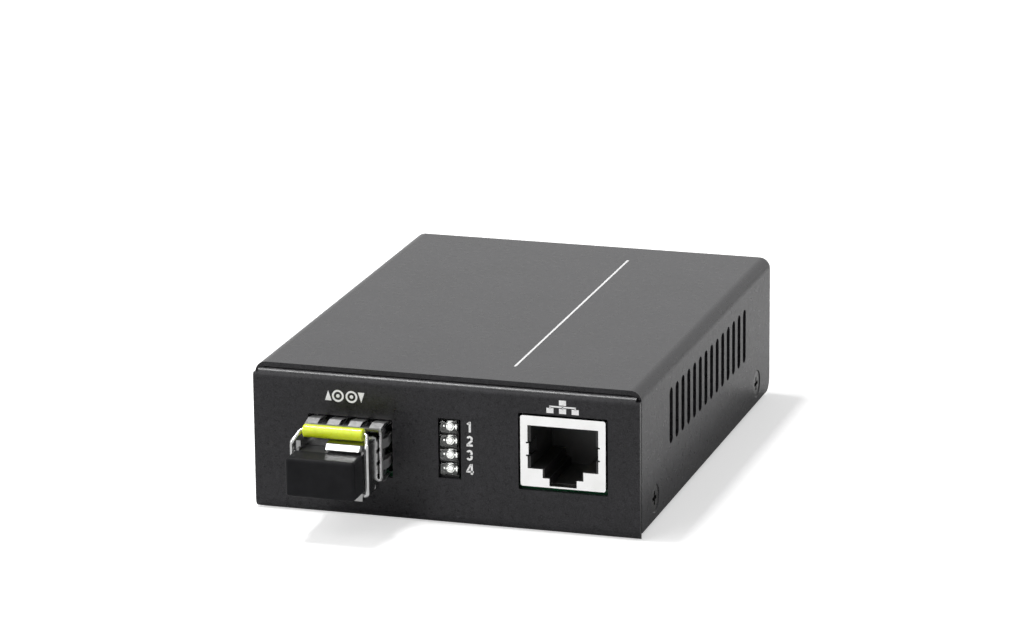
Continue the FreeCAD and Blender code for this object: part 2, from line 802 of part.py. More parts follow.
def rj45_shield():
    half = jack_width / 2
    top = board_top + jack_height
    s = jack_sheet
    outer = rounded_box(jack_x - half, jack_x + half, jack_front_y, jack_back_y, board_top, top, 0.45, BACK)
    inner = centred_box(jack_x, half - s, jack_front_y + s, jack_back_y - s, board_top + s, top - s)
    shell = outer.cut(inner)
    # the shield has no floor behind its front lip
    shell = shell.cut(centred_box(jack_x, half - s, jack_front_y + lip_depth, jack_back_y - s,
                                  board_top - 1, board_top + s + 0.1))
    shell = shell.cut(prism(window_outline(jack_front_y - 1, 0, 0), V(0, 1 + s + 0.1, 0)))
    tab_z = top - tab_drop
    parts = [shell]
    for side in (-1, 1):
        x = jack_x + side * window_width / 2
        x0, x1 = sorted((x - side * 0.1, x + side * 0.3))
        for end in (-1, 1):
            z0, z1 = sorted((tab_z + end * tab_height / 2, tab_z + end * (tab_height / 2 + tab_notch)))
            parts[0] = parts[0].cut(box(x0, x1, jack_front_y - 1, jack_front_y + s + 0.1, z0, z1))
        parts.append(ground_tab(side))
        x0, x1 = sorted((jack_x + side * half, jack_x + side * (half - s)))
        y0, y1 = prong_y - prong_width / 2, prong_y + prong_width / 2
        prong = prism([V(x0, y0, board_top + 1), V(x0, y1, board_top + 1),
                       V(x0, y1, board_top - prong_length + 1),
                       V(x0, prong_y, board_top - prong_length),
                       V(x0, y0, board_top - prong_length + 1)], V(x1 - x0, 0, 0))
        parts.append(prong)
    return fused(parts)


def rj45_housing():
    inset = jack_sheet + jack_fit
    half = jack_width / 2 - inset
    front = jack_front_y + inset
    back = jack_back_y - inset
    top = board_top + jack_height - inset
    block = centred_box(jack_x, half, front, back, board_top + inset, top)
    # foot that stands on the board behind the shield's front lip
    foot = centred_box(jack_x, half, jack_front_y + lip_depth + jack_fit, back,
                       board_top, board_top + inset)
    block = fused([block, foot])
    cavity = prism(window_outline(front - 1, socket_inset, jack_fit), V(0, socket_depth + 1, 0))
    block = block.cut(cavity)
    # relief for the grounding tabs
    z = board_top + jack_height - tab_drop
    room = tab_height / 2 + tab_relief
    for side in (-1, 1):
        inner_x = jack_x + side * (window_width / 2 - socket_inset - tab_relief)
        x0, x1 = sorted((inner_x, jack_x + side * (window_width / 2 + 0.45)))
        block = block.cut(box(x0, x1, front - 1, front + tab_length + tab_relief, z - room, z + room))
    return block


def rj45_contact(k):
    x = jack_x + (k - (contact_count - 1) / 2) * contact_pitch - contact_width / 2
    ceiling = board_top + jack_height - window_top
    front = jack_front_y + jack_sheet + jack_fit
    t = contact_thickness / 2
    points = [
        V(x, front + socket_depth, ceiling - t),
        V(x, front + contact_fold, ceiling - t),
        V(x, front + contact_fold + contact_reach, ceiling - contact_drop),
    ]
    return folded_strip(points, contact_thickness, 0.3, RIGHT, contact_width)


def rj45_contacts():
    return grouped([rj45_contact(k) for k in range(contact_count)])


# ---- status lights ----
def led_lead_y(k):
    return light_face_y + led_length + lead_first + lead_pitch * k


def led_holder():
    heights = led_heights()
    half = led_width / 2 + led_side_wall
    top = heights[-1] + led_height / 2 + led_side_wall
    block = centred_box(led_x, half, holder_front_y, holder_back_y, board_top, top)
    gap = led_pocket_gap
    back_y = light_face_y + led_length
    room = led_height / 2 + gap
    for z in heights:
        block = block.cut(centred_box(led_x, led_width / 2 + gap, holder_front_y - 1, back_y + gap,
                                      z - room, z + room))
    # the back is open from side to side, so that the leads can turn down
    block = block.cut(centred_box(led_x, led_width / 2, back_y + holder_web, holder_back_y + 1,
                                  board_top - 1, top - 0.8))
    room = lead_size / 2 + gap
    for z in heights:
        for side in (-1, 1):
            x = led_x + side * led_width / 4
            block = block.cut(centred_box(x, room, back_y - 0.5, back_y + holder_web + 0.3,
                                          z - room, z + room))
    return block


def led(k):
    """Clear rectangular light with its face's edges eased."""
    z = led_heights()[k]
    body = centred_box(led_x, led_width / 2, light_face_y, light_face_y + led_length,
                       z - led_height / 2, z + led_height / 2)
    face_edges = [e for e in body.Edges if abs(e.CenterOfMass.y - light_face_y) < 0.01]
    return body.makeFillet(0.15, face_edges)


def led_lead(k, side):
    z = led_heights()[k]
    y = led_lead_y(k)
    x = led_x + side * led_width / 4 - lead_size / 2
    points = [
        V(x, light_face_y + led_length, z),
        V(x, y, z),
        V(x, y, board_bottom - lead_end),
    ]
    return folded_strip(points, lead_size, lead_bend, RIGHT, lead_size)


def led_leads():
    return grouped([led_lead(k, side) for k in range(led_count) for side in (-1, 1)])


# ---- module cage ----
def latch_tab():
    t = cage_sheet / 2
    root = cage_mouth_y + latch_tab_length
    x = cage_x - latch_tab_width / 2
    points = [
        V(x, root + 0.5, cage_bottom + t),
        V(x, root - 0.4, cage_bottom + t),
        V(x, root - 0.4 - latch_tab_slope, cage_bottom + t - latch_tab_drop),
        V(x, cage_mouth_y, cage_bottom + t - latch_tab_drop),
    ]
    tab = folded_strip(points, cage_sheet, 0.3, RIGHT, latch_tab_width)
    # three-cornered window for the latch post
    half = latch_post_width / 2 + 0.3
    y0 = latch_post_front_y - 0.3
    y1 = y0 + latch_post_length + 0.9
    low = cage_bottom - latch_tab_drop - 1
    window = prism([V(cage_x - half, y0, low), V(cage_x + half, y0, low), V(cage_x, y1, low)], V(0, 0, 2.2))
    return tab.cut(window)


def sfp_cage():
    half = cage_width / 2
    s = cage_sheet
    outer = rounded_box(cage_x - half, cage_x + half, cage_mouth_y, cage_back_y,
                        cage_bottom, cage_top, cage_corner, BACK)
    inner = rounded_box(cage_x - half + s, cage_x + half - s, cage_mouth_y - 1, cage_back_y - s,
                        cage_bottom + s, cage_top - s, cage_corner - s, BACK)
    tube = outer.cut(inner)
    # no floor over the socket, and a gap round the latch tab
    tube = tube.cut(centred_box(cage_x, half - s - 0.4, socket_front_y - 1.5, cage_back_y - s,
                                cage_bottom - 1, cage_floor + 0.1))
    tube = tube.cut(centred_box(cage_x, latch_tab_width / 2 + latch_slot_gap, cage_mouth_y - 1,
                                cage_mouth_y + latch_tab_length, cage_bottom - 1, cage_floor + 0.1))
    parts = [tube, latch_tab()]
    for side in (-1, 1):
        x0, x1 = sorted((cage_x + side * half, cage_x + side * (half - s)))
        for y in cage_pin_rows():
            parts.append(box(x0, x1, y - cage_pin_width / 2, y + cage_pin_width / 2,
                             cage_bottom - cage_pin_length, cage_bottom + cage_corner + 0.2))
    return fused(parts)


def cage_finger(base, outward, across, width, place):
    """One spring finger that rises from the mouth to its crest and dips through the panel's cut-out."""
    t = finger_sheet / 2
    level = t + finger_fit
    start = cage_mouth_y + finger_hem / 2
    profile = (
        (start, level),
        (start + finger_front, level),
        (start + finger_crest, level + finger_rise),
        (front_y + chassis_sheet + finger_tail, level),
    )
    corner = base.add(V(across).multiply(place - width / 2))
    points = [corner.add(V(outward).multiply(rise)).add(V(0, y, 0)) for y, rise in profile]
    return folded_strip(points, finger_sheet, 0.3, across, width)


def cage_spring_fingers():
    half = cage_width / 2
    t = finger_sheet + finger_fit
    gap = finger_fit
    outer = rounded_box(cage_x - half - t, cage_x + half + t, cage_mouth_y, cage_mouth_y + finger_hem,
                        cage_bottom - t, cage_top + t, cage_corner + t, BACK)
    inner = rounded_box(cage_x - half - gap, cage_x + half + gap,
                        cage_mouth_y - 1, cage_mouth_y + finger_hem + 1,
                        cage_bottom - gap, cage_top + gap, cage_corner, BACK)
    parts = [outer.cut(inner)]
    for k in range(4):
        place = (k - 1.5) * finger_pitch
        parts.append(cage_finger(V(cage_x, 0, cage_top), UP, RIGHT, finger_width, place))
    for side in (-1, 1):
        for end in (-1, 1):
            base = V(cage_x + side * half, 0, (cage_bottom + cage_top) / 2)
            place = end * side_finger_pitch / 2
            parts.append(cage_finger(base, V(side, 0, 0), UP, side_finger_width, place))
            base = V(cage_x, 0, cage_bottom)
            place = end * 1.5 * finger_pitch
            parts.append(cage_finger(base, V(0, 0, -1), RIGHT, finger_width, place))
    collar = fused(parts)
    # the hem is open under the latch tab
    return collar.cut(centred_box(cage_x, latch_tab_width / 2 + latch_slot_gap, cage_mouth_y - 1,
                                  cage_mouth_y + finger_hem + 1, cage_bottom - 2, cage_bottom + 1))


# ---- module socket ----
def sfp_socket():
    half = socket_width / 2
    block = centred_box(cage_x, half, socket_front_y, socket_back_y, board_top, board_top + socket_height)
    slot = centred_box(cage_x, slot_width / 2, socket_front_y - 1, socket_front_y + slot_depth,
                       card_z - slot_height / 2, card_z + slot_height / 2)
    # grooves in which the lower contacts leave at the back
    foot = centred_box(cage_x, slot_width / 2, socket_front_y + slot_depth - 0.5, socket_back_y + 1,
                       board_top - 1, board_top + 0.5)
    return block.cut(slot).cut(foot)


def edge_contact(k, sign):
    """Bowed spring that presses on one side of the card edge."""
    x = cage_x + (k - (edge_contact_count - 1) / 2) * edge_contact_pitch - edge_contact_width / 2
    t = edge_contact_thickness / 2
    near = card_thickness / 2 + edge_contact_gap + t
    wall = slot_height / 2 - t
    back = socket_front_y + slot_depth - seat_gap
    points = [
        V(x, back, card_z + sign * wall),
        V(x, socket_front_y + 2.6, card_z + sign * near),
        V(x, socket_front_y + 0.6, card_z + sign * wall),
    ]
    return folded_strip(points, edge_contact_thickness, 0.8, RIGHT, edge_contact_width)


def contact_tail(k):
    """Foot of a contact pair, soldered behind the socket."""
    x = cage_x + (k - (edge_contact_count - 1) / 2) * edge_contact_pitch - edge_contact_width / 2
    t = edge_contact_thickness
    return box(x, x + edge_contact_width, socket_front_y + slot_depth, socket_back_y + contact_foot,
               board_top, board_top + t)


def sfp_socket_contacts():
    shapes = []
    for k in range(edge_contact_count):
        shapes.append(edge_contact(k, 1))
        shapes.append(edge_contact(k, -1))
        shapes.append(contact_tail(k))
    return grouped(shapes)


# ---- power jack ----
def power_face_y():
    return rear_y


def power_pin_tail_y():
    return power_face_y() - power_depth + 1.0


def power_spring_tail_y():
    return power_face_y() - 7.6


def dc_jack_body():
    face = power_face_y()
    half = power_width / 2
    front_block = centred_box(power_x, half, face - power_front_block, face,
                              board_top, board_top + power_height)
    back = face - power_depth
    barrel = rod(V(power_x, back, power_axis_z), BACK, power_height - power_axis_height, power_depth - 0.5)
    base = centred_box(power_x, half, back, face - 0.5, board_top, power_axis_z)
    body = fused([front_block, barrel, base])
    bore = rod(V(power_x, face - power_bore_depth, power_axis_z), BACK, power_bore, power_bore_depth + 1)
    mouth = Part.makeCone(power_bore, power_bore + 0.35, 0.35, V(power_x, face - 0.35, power_axis_z), BACK)
    pin_hole = rod(V(power_x, back - 1, power_axis_z), BACK, power_pin_radius + thread_gap, power_depth)
    channel_half = power_blade_width / 2 + 0.3
    spring_room = centred_box(power_x, channel_half, face - power_bore_depth, face - power_front_block,
                              board_top - 1, power_axis_z)
    tail_room = centred_box(power_x, channel_half, back - 1, back + 2.0,
                            board_top - 1, power_axis_z + channel_half)
    return body.cut(grouped([bore, mouth])).cut(grouped([pin_hole, spring_room, tail_room]))


def dc_jack_pin():
    face = power_face_y()
    back = face - power_depth
    tip = face - power_pin_recess
    start = back + 0.6
    pin = rod(V(power_x, start, power_axis_z), BACK, power_pin_radius, tip - start)
    tip_edge = [e for e in pin.Edges if abs(e.CenterOfMass.y - tip) < 0.01]
    pin = pin.makeFillet(power_pin_radius * 0.6, tip_edge)
    y = power_pin_tail_y()
    blade = centred_box(power_x, power_blade_width / 2, y - power_blade / 2, y + power_blade / 2,
                        board_bottom - 1.2, power_axis_z + power_blade_width / 2)
    return fused([pin, blade])


def dc_jack_spring():
    """Contact leaf: up from the board, then forward along the bore's lower side."""
    t = power_blade / 2
    face = power_face_y()
    x = power_x - power_blade_width / 2
    floor = power_axis_z - power_bore
    points = [
        V(x, power_spring_tail_y(), board_bottom - 1.2),
        V(x, power_spring_tail_y(), floor - 0.2),
        V(x, face - 5.6, floor + 0.75),
        V(x, face - 3.7, floor - 0.15),
    ]
    return folded_strip(points, power_blade, 0.5, RIGHT, power_blade_width)


# ---- parts on the board ----
def chip_place():
    return (cage_x + cage_width / 2 + chip_from_cage + chip_side / 2, chip_shift)


def transformer_place():
    return (jack_x - transformer_shift, jack_back_y + transformer_gap + transformer_size[1] / 2)


def regulator_place():
    return (power_x - power_width / 2 - regulator_from_power, board_rear_y - regulator_from_edge)


def gull_lead(x, y, outward, width):
    """Flat lead that leaves a package, drops to the board and ends in a foot."""
    t = lead_foot / 2
    across = V(-outward.y, outward.x, 0)
    start = V(x, y, board_top + 0.9).sub(V(across).multiply(width / 2))
    points = [
        start,
        start.add(V(outward).multiply(0.45)),
        V(start.x, start.y, board_top + t).add(V(outward).multiply(0.65)),
        V(start.x, start.y, board_top + t).add(V(outward).multiply(lead_reach)),
    ]
    return folded_strip(points, lead_foot, 0.1, across, width)


def package(x, y, size_x, size_y, height, lift):
    body = centred_box(x, size_x / 2, y - size_y / 2, y + size_y / 2, board_top + lift, board_top + height)
    upper = [e for e in body.Edges if abs(e.CenterOfMass.z - board_top - height) < 0.01]
    return body.makeChamfer(0.25, upper)


def media_chip():
    x, y = chip_place()
    return package(x, y, chip_side, chip_side, chip_height, 0.15)


def pulse_transformer():
    x, y = transformer_place()
    return package(x, y, transformer_size[0], transformer_size[1], transformer_size[2], 0.15)


def chip_leads():
    leads = []
    x, y = chip_place()
    half = chip_side / 2
    for k in range(chip_lead_count):
        place = (k - (chip_lead_count - 1) / 2) * chip_lead_pitch
        for side in (-1, 1):
            leads.append(gull_lead(x + side * half, y + place, V(side, 0, 0), 0.35))
            leads.append(gull_lead(x + place, y + side * half, V(0, side, 0), 0.35))
    x, y = transformer_place()
    for k in range(8):
        place = (k - 3.5) * 1.27
        for side in (-1, 1):
            leads.append(gull_lead(x + place, y + side * transformer_size[1] / 2, V(0, side, 0), 0.45))
    x, y = regulator_place()
    for place in (-2.3, 0, 2.3):
        leads.append(gull_lead(x + place, y - regulator_size[1] / 2, V(0, -1, 0), 0.7))
    return grouped(leads)


def regulator():
    x, y = regulator_place()
    body = package(x, y, regulator_size[0], regulator_size[1], regulator_size[2], 0.1)
    tab = box(x - 2.6, x + 2.6, y + regulator_size[1] / 2 - 0.5, y + regulator_size[1] / 2 + 2.4,
              board_top, board_top + 0.5)
    return fused([body, tab])


def crystal():
    """Low metal can with round ends, on a flange."""
    x, y = chip_place()
    half = crystal_width / 2
    x += chip_side / 2 + crystal_gap + half
    can = rounded_box(x - half, x + half, y - crystal_length / 2, y + crystal_length / 2,
                      board_top, board_top + crystal_height, half - 0.05, UP)
    wide = half + crystal_flange
    long = crystal_length / 2 + crystal_flange
    rim = rounded_box(x - wide, x + wide, y - long, y + long, board_top, board_top + 0.5, half + 0.2, UP)
    return fused([can, rim])


def electrolytic(x, y, radius, height):
    """Round can with a crimp above its base and a raised rim at the top."""
    profile = [
        (0, 0), (radius, 0), (radius, 1.4), (radius - 0.3, 1.8), (radius, 2.2),
        (radius, height - 0.3), (radius - 0.3, height), (radius - 0.8, height),
        (radius - 0.9, height - 0.25), (0, height - 0.25),
    ]
    points = [V(r, 0, board_top + z) for r, z in profile]
    can = Part.Face(Part.makePolygon(points + [points[0]])).revolve(V(0, 0, 0), UP, 360)
    can.translate(V(x, y, 0))
    return can


def input_capacitor_x():
    return fixing_points()[3][0] - capacitor_from_screw


def capacitor_input():
    y = board_rear_y - capacitor_from_edge
    return electrolytic(input_capacitor_x(), y, capacitor_radius, capacitor_height)


def capacitor_output():
    x = input_capacitor_x() - capacitor_radius - capacitor_gap - small_capacitor_radius
    y = board_rear_y - capacitor_from_edge
    return electrolytic(x, y, small_capacitor_radius, small_capacitor_height)


def inductor():
    x, y = regulator_place()
    half = inductor_side / 2
    x -= regulator_size[0] / 2 + inductor_gap + half
    base = rounded_box(x - half, x + half, y - half, y + half, board_top, board_top + 0.8, 0.8, UP)
    core = rod(V(x, y, board_top), UP, half - 0.15, inductor_height - 0.6)
    disc = rod(V(x, y, board_top + inductor_height - 0.7), UP, half - 0.5, 0.7)
    return fused([base, core, disc])


def chip_passives():
    """Small resistors and capacitors in rows beside the chip."""
    x, y = chip_place()
    dx, dy, dz = passive_size
    shapes = []
    row = chip_side / 2 + passive_gap + dx / 2
    for k in range(passive_count):
        px = x + (k - (passive_count - 1) / 2) * passive_pitch
        for py in (y + row, y - row):
            shapes.append(centred_box(px, dy / 2, py - dx / 2, py + dx / 2, board_top, board_top + dz))
    return grouped(shapes)


# ---- optical module ----
def module_base():
    """Die-cast tray with a solid nose, open at the back's underside for the socket."""
    half = module_width / 2
    skirt = module_cover_sheet + seat_gap
    inner = tray_half
    tray_floor = port_z - can_radius - seat_gap
    lid_y = shoulder_y + module_cover_start
    lid_edge = module_top - module_cover_skirt - seat_gap
    body = rounded_box(cage_x - half, cage_x + half, shoulder_y - 1, module_back_y,
                       module_bottom, module_top, module_round, BACK)
    # seat of the folded lid
    seat = [centred_box(cage_x, half + 1, lid_y, module_back_y + 1, module_top - skirt, module_top + 1)]
    for side in (-1, 1):
        x0, x1 = sorted((cage_x + side * (half - skirt), cage_x + side * (half + 1)))
        seat.append(box(x0, x1, lid_y, module_back_y + 1, lid_edge, module_top + 1))
    body = body.cut(grouped(seat))
    nose = rounded_box(cage_x - half, cage_x + half, nose_y, shoulder_y,
                       nose_bottom, nose_top, nose_edge, BACK)
    block = fused([body, nose])
    # the tray, closed at the top in front of the lid
    port_back_y = nose_y + port_depth
    tray = centred_box(cage_x, inner, port_back_y + 0.6, module_back_y + 1,
                       tray_floor, module_top - module_wall - skirt)
    tray_mouth = centred_box(cage_x, inner, lid_y + 1, module_back_y + 1, tray_floor, module_top + 1)
    socket_gap = centred_box(cage_x, inner, socket_front_y - 1.0, module_back_y + 1,
                             module_bottom - 1, tray_floor + 1)
    # pocket of the optical port and the window for a connector's catch over its left half
    port_pocket = centred_box(cage_x, port_width / 2 + port_fit, nose_y - 1, port_back_y + 0.65,
                              port_z - port_height / 2 - port_fit, port_z + port_height / 2 + port_fit)
    catch = centred_box(cage_x - port_pitch / 2, catch_width / 2, nose_y - 1, nose_y + catch_depth,
                        port_z + port_height / 2 - port_fit, nose_top + 1)
    # the bar over the ports stands back from the nose's face, with a slot under it
    lintel_z = nose_top - lintel_height
    slot_z = lintel_z - lintel_gap
    ledge = centred_box(cage_x, half + 1, nose_y - 1, nose_y + lintel_back, slot_z, nose_top + 1)
    slot = centred_box(cage_x, port_width / 2, nose_y - 1, nose_y + lintel_gap_depth, slot_z, lintel_z)
    # channel of the latch lever, open to the tray
    channel = centred_box(cage_x, latch_width_lever / 2 + latch_channel_gap,
                          latch_pin_y - latch_arm_front - 0.3, latch_pin_y + latch_arm_back + 0.6,
                          nose_bottom - 1, latch_plate_top + latch_swing_room)
    pin_start = V(cage_x - half - 1, latch_pin_y, latch_pin_z)
    pin_bore = rod(pin_start, RIGHT, latch_pin_radius + thread_gap, module_width + 2)
    cuts = [tray, tray_mouth, socket_gap, port_pocket, catch, ledge, slot, channel, pin_bore]
    for side in (-1, 1):
        # groove in which a leg of the bail stands, and the bore for its end
        x0, x1 = sorted((cage_x + side * (half - nose_groove), cage_x + side * (half + 1)))
        cuts.append(box(x0, x1, nose_y - 1, bail_pivot_y + nose_groove_back, nose_bottom - 1, nose_top + 1))
        cuts.append(rod(V(cage_x + side * (half + 1), bail_pivot_y, bail_pivot_z), V(-side, 0, 0),
                        wire_radius + bail_pivot_gap, bail_pivot_depth + 1.1 - (bail_half_width - half)))
    cuts.append(collar_seat())
    return block.cut(grouped(cuts))


def collar_seat():
    """Shallow step round the front of the tray, in which the spring collar lies."""
    half = module_width / 2
    sunk = collar_sheet + collar_fit
    end_y = shoulder_y + collar_hoop_back + seat_gap
    outside = centred_box(cage_x, half + 1, shoulder_y - collar_front - seat_gap, end_y,
                          module_bottom - 3, module_top + 1)
    kept = rounded_box(cage_x - half + sunk, cage_x + half - sunk, shoulder_y - 2, end_y + 1,
                       module_bottom + sunk, nose_top - sunk, module_round, BACK)
    below = centred_box(cage_x, half + 2, shoulder_y - 3, end_y + 1, nose_bottom - 2, module_bottom + 1)
    return outside.cut(kept).cut(below)


def module_cover():
    """Folded sheet lid over the die-cast tray."""
    t = module_cover_sheet / 2
    x = module_width / 2 - t
    top = module_top - t
    start = shoulder_y + module_cover_start
    points = [
        V(cage_x - x, start, module_top - module_cover_skirt),
        V(cage_x - x, start, top),
        V(cage_x + x, start, top),
        V(cage_x + x, start, module_top - module_cover_skirt),
    ]
    return folded_strip(points, module_cover_sheet, 0.1, BACK, module_back_y - start)


def module_board():
    wide = tray_half - card_side_gap
    front = nose_y + port_depth + port_fit + can_length + 0.3
    neck = card_end_y - card_edge_length
    z0 = card_z - card_thickness / 2
    plate = centred_box(cage_x, wide, front, neck, z0, z0 + card_thickness)
    edge = centred_box(cage_x, card_edge_width / 2, neck - 0.1, card_end_y, z0, z0 + card_thickness)
    driver = centred_box(cage_x, driver_side / 2, front + driver_back, front + driver_back + driver_side,
                         z0 + card_thickness, z0 + card_thickness + driver_height)
    return fused([plate, edge, driver])


def port_centres():
    return (cage_x - port_pitch / 2, cage_x + port_pitch / 2)


def module_port():
    """Twin optical port: a moulded block with two square bores."""
    block = centred_box(cage_x, port_width / 2, nose_y + 0.3, nose_y + port_depth,
                        port_z - port_height / 2, port_z + port_height / 2)
    for x in port_centres():
        block = block.cut(centred_box(x, port_bore_width / 2, nose_y - 1, nose_y + port_depth - 1.6,
                                      port_z - port_bore_height / 2, port_z + port_bore_height / 2))
        block = block.cut(rod(V(x, nose_y, port_z), BACK, barrel_radius + port_fit, port_depth + 2))
    return block


def optical_can(x):
    """Laser or receiver can with the barrel that takes the fibre's end."""
    start = nose_y + port_depth + port_fit
    can = rod(V(x, start, port_z), BACK, can_radius, can_length)
    barrel = rod(V(x, start - barrel_length, port_z), BACK, barrel_radius, barrel_length + 0.1)
    bore = rod(V(x, start - barrel_length - 0.1, port_z), BACK, 0.65, barrel_length - 0.5)
    return fused([can, barrel]).cut(bore)


def laser_can():
    return optical_can(port_centres()[0])


def receiver_can():
    return optical_can(port_centres()[1])


def collar_finger(base, outward, across, place):
    """One finger of the collar, from its tip in front of the cage to the hoop behind it."""
    t = collar_sheet / 2
    tip = shoulder_y - collar_front
    profile = (
        (tip, 0),
        (tip + collar_flat, 0),
        (tip + collar_crest, collar_bulge),
        (shoulder_y + collar_hoop_back - collar_hoop / 2, 0),
    )
    corner = base.add(V(across).multiply(place - collar_finger_width / 2))
    points = [corner.add(V(outward).multiply(rise - t)).add(V(0, y, 0)) for y, rise in profile]
    return folded_strip(points, collar_sheet, collar_bend, across, collar_finger_width)


def module_spring_collar():
    """Grounding springs between module and cage: a hoop over three sides with fingers."""
    half = module_width / 2
    s = collar_sheet
    back = shoulder_y + collar_hoop_back
    front = back - collar_hoop
    low = module_bottom - 1
    hoop = rounded_box(cage_x - half, cage_x + half, front, back,
                       module_bottom, nose_top, module_round, BACK)
    hoop = hoop.cut(centred_box(cage_x, half - s, front - 1, back + 1, low, nose_top - s))
    hoop = hoop.cut(centred_box(cage_x, half + 1, front - 1, back + 1, low, module_bottom + collar_foot))
    parts = [hoop]
    for k in (-1, 0, 1):
        place = k * collar_finger_pitch
        for side in (-1, 1):
            base = V(cage_x + side * half, 0, (module_bottom + nose_top) / 2)
            parts.append(collar_finger(base, V(side, 0, 0), UP, place))
        parts.append(collar_finger(V(cage_x, 0, nose_top), UP, RIGHT, place * collar_top_spread))
    return fused(parts)


# ---- latch ----
def latch_lever():
    """Rocker under the module: a hub on the pin, a front arm, and a plate with the latch post."""
    half = latch_width_lever / 2
    plate_z0 = latch_plate_top - latch_plate
    back = latch_pin_y + latch_arm_back
    front = latch_pin_y - latch_arm_front
    hub = rod(V(cage_x - half, latch_pin_y, latch_pin_z), RIGHT, latch_hub_radius, latch_width_lever)
    plate = centred_box(cage_x, half, latch_pin_y, back, plate_z0, latch_plate_top)
    arm = centred_box(cage_x, half, front, latch_pin_y,
                      latch_pin_z - latch_plate / 2, latch_pin_z + latch_plate / 2)
    y0 = latch_post_front_y
    low = module_bottom - latch_post_drop
    w = latch_post_width / 2
    corners = [V(cage_x - w, y0, low), V(cage_x + w, y0, low), V(cage_x, y0 + latch_post_length, low)]
    post = prism(corners, V(0, 0, latch_plate_top - low))
    lever = fused([hub, plate, arm, post])
    pin_start = V(cage_x - half - 1, latch_pin_y, latch_pin_z)
    bore = rod(pin_start, RIGHT, latch_pin_radius + latch_pin_gap, latch_width_lever + 2)
    return lever.cut(bore)


def latch_pin():
    half = module_width / 2 - 0.1
    return rod(V(cage_x - half, latch_pin_y, latch_pin_z), RIGHT, latch_pin_radius, 2 * half)


# ---- bail ----
def bail_path():
    inner = bail_half_width - bail_pivot_depth
    leg_top = bail_pivot_z + bail_leg
    bend_x = sleeve_length / 2 + 0.5
    right = [
        V(inner, bail_pivot_y, bail_pivot_z),
        V(bail_half_width, bail_pivot_y, bail_pivot_z),
        V(bail_half_width, bail_pivot_y, leg_top),
        V(bend_x, sleeve_y, sleeve_z),
    ]
    left = [V(-p.x, p.y, p.z) for p in reversed(right)]
    return [p.add(V(cage_x, 0, 0)) for p in right + left]


def bail_wire():
    spine = bail_path()
    return round_bar(spine, bail_bend, wire_radius)


def bail_sleeve():
    start = V(cage_x - sleeve_length / 2, sleeve_y, sleeve_z)
    sleeve = rod(start, RIGHT, sleeve_radius, sleeve_length)
    ends = [e for e in sleeve.Edges if len(e.Vertexes) == 1]
    sleeve = sleeve.makeFillet(0.3, ends)
    return sleeve.cut(rod(start.sub(V(1, 0, 0)), RIGHT, wire_radius + sleeve_fit, sleeve_length + 2))


# ---- dust plug ----
def dust_plug():
    """Rubber block over the nose with a hollow post in each port."""
    face_y = nose_y - plug_gap - plug_thickness
    back_y = nose_y - plug_gap
    slab = centred_box(cage_x, plug_width / 2, face_y, back_y,
                       plug_z - plug_height / 2, plug_z + plug_height / 2)
    rounded = [e for e in slab.Edges if abs(e.CenterOfMass.y - back_y) > 0.01]
    slab = slab.makeFillet(plug_round, rounded)
    half_wide = port_bore_width / 2 - plug_post_gap
    half_high = port_bore_height / 2 - plug_post_gap
    posts = [centred_box(x, half_wide, back_y - 0.2, nose_y + plug_post_length,
                         port_z - half_high, port_z + half_high) for x in port_centres()]
    plug = fused([slab] + posts)
    for x in port_centres():
        start = V(x, nose_y + plug_wall, port_z)
        plug = plug.cut(rod(start, BACK, barrel_radius + plug_bore_gap, plug_post_length))
    return plug


nodes = {
    "chassis": chassis,
    "cover": cover,
    "case_screws": case_screws,
    "board_standoffs": board_standoffs,
    "board_screws": board_screws,
    "main_board": main_board,
    "rj45_shield": rj45_shield,
    "rj45_housing": rj45_housing,
    "rj45_contacts": rj45_contacts,
    "led_holder": led_holder,
    "led_leads": led_leads,
    "sfp_cage": sfp_cage,
    "cage_spring_fingers": cage_spring_fingers,
    "sfp_socket": sfp_socket,
    "sfp_socket_contacts": sfp_socket_contacts,
    "dc_jack_body": dc_jack_body,
    "dc_jack_pin": dc_jack_pin,
    "dc_jack_spring": dc_jack_spring,
    "media_chip": media_chip,
    "pulse_transformer": pulse_transformer,
    "chip_leads": chip_leads,
    "regulator": regulator,
    "crystal": crystal,
    "capacitor_input": capacitor_input,
    "capacitor_output": capacitor_output,
    "inductor": inductor,
    "chip_passives": chip_passives,
    "module_base": module_base,
    "module_cover": module_cover,
    "module_board": module_board,
    "module_port": module_port,
    "laser_can": laser_can,
    "receiver_can": receiver_can,
    "module_spring_collar": module_spring_collar,
    "latch_lever": latch_lever,
    "latch_pin": latch_pin,
    "bail_wire": bail_wire,
    "bail_sleeve": bail_sleeve,
    "dust_plug": dust_plug,
}

os.makedirs("parts", exist_ok=True)
for name, make in nodes.items():
    make().exportStep("parts/" + name + ".step")
for k in range(led_count):
    led(k).exportStep("parts/led_%d.step" % (k + 1))
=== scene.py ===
import json
import math

import bmesh
import bpy
from mathutils import Matrix, Vector


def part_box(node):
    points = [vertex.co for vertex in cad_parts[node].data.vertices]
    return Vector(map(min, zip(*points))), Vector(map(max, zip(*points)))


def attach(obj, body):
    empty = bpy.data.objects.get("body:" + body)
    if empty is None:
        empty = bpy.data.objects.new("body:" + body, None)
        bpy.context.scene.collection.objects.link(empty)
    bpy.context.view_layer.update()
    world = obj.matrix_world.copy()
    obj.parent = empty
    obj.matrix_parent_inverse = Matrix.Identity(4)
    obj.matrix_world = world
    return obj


# Fibre media converter on a pale floor. Metres; the CAD frame's axes: -Y is the front, +Z is up.

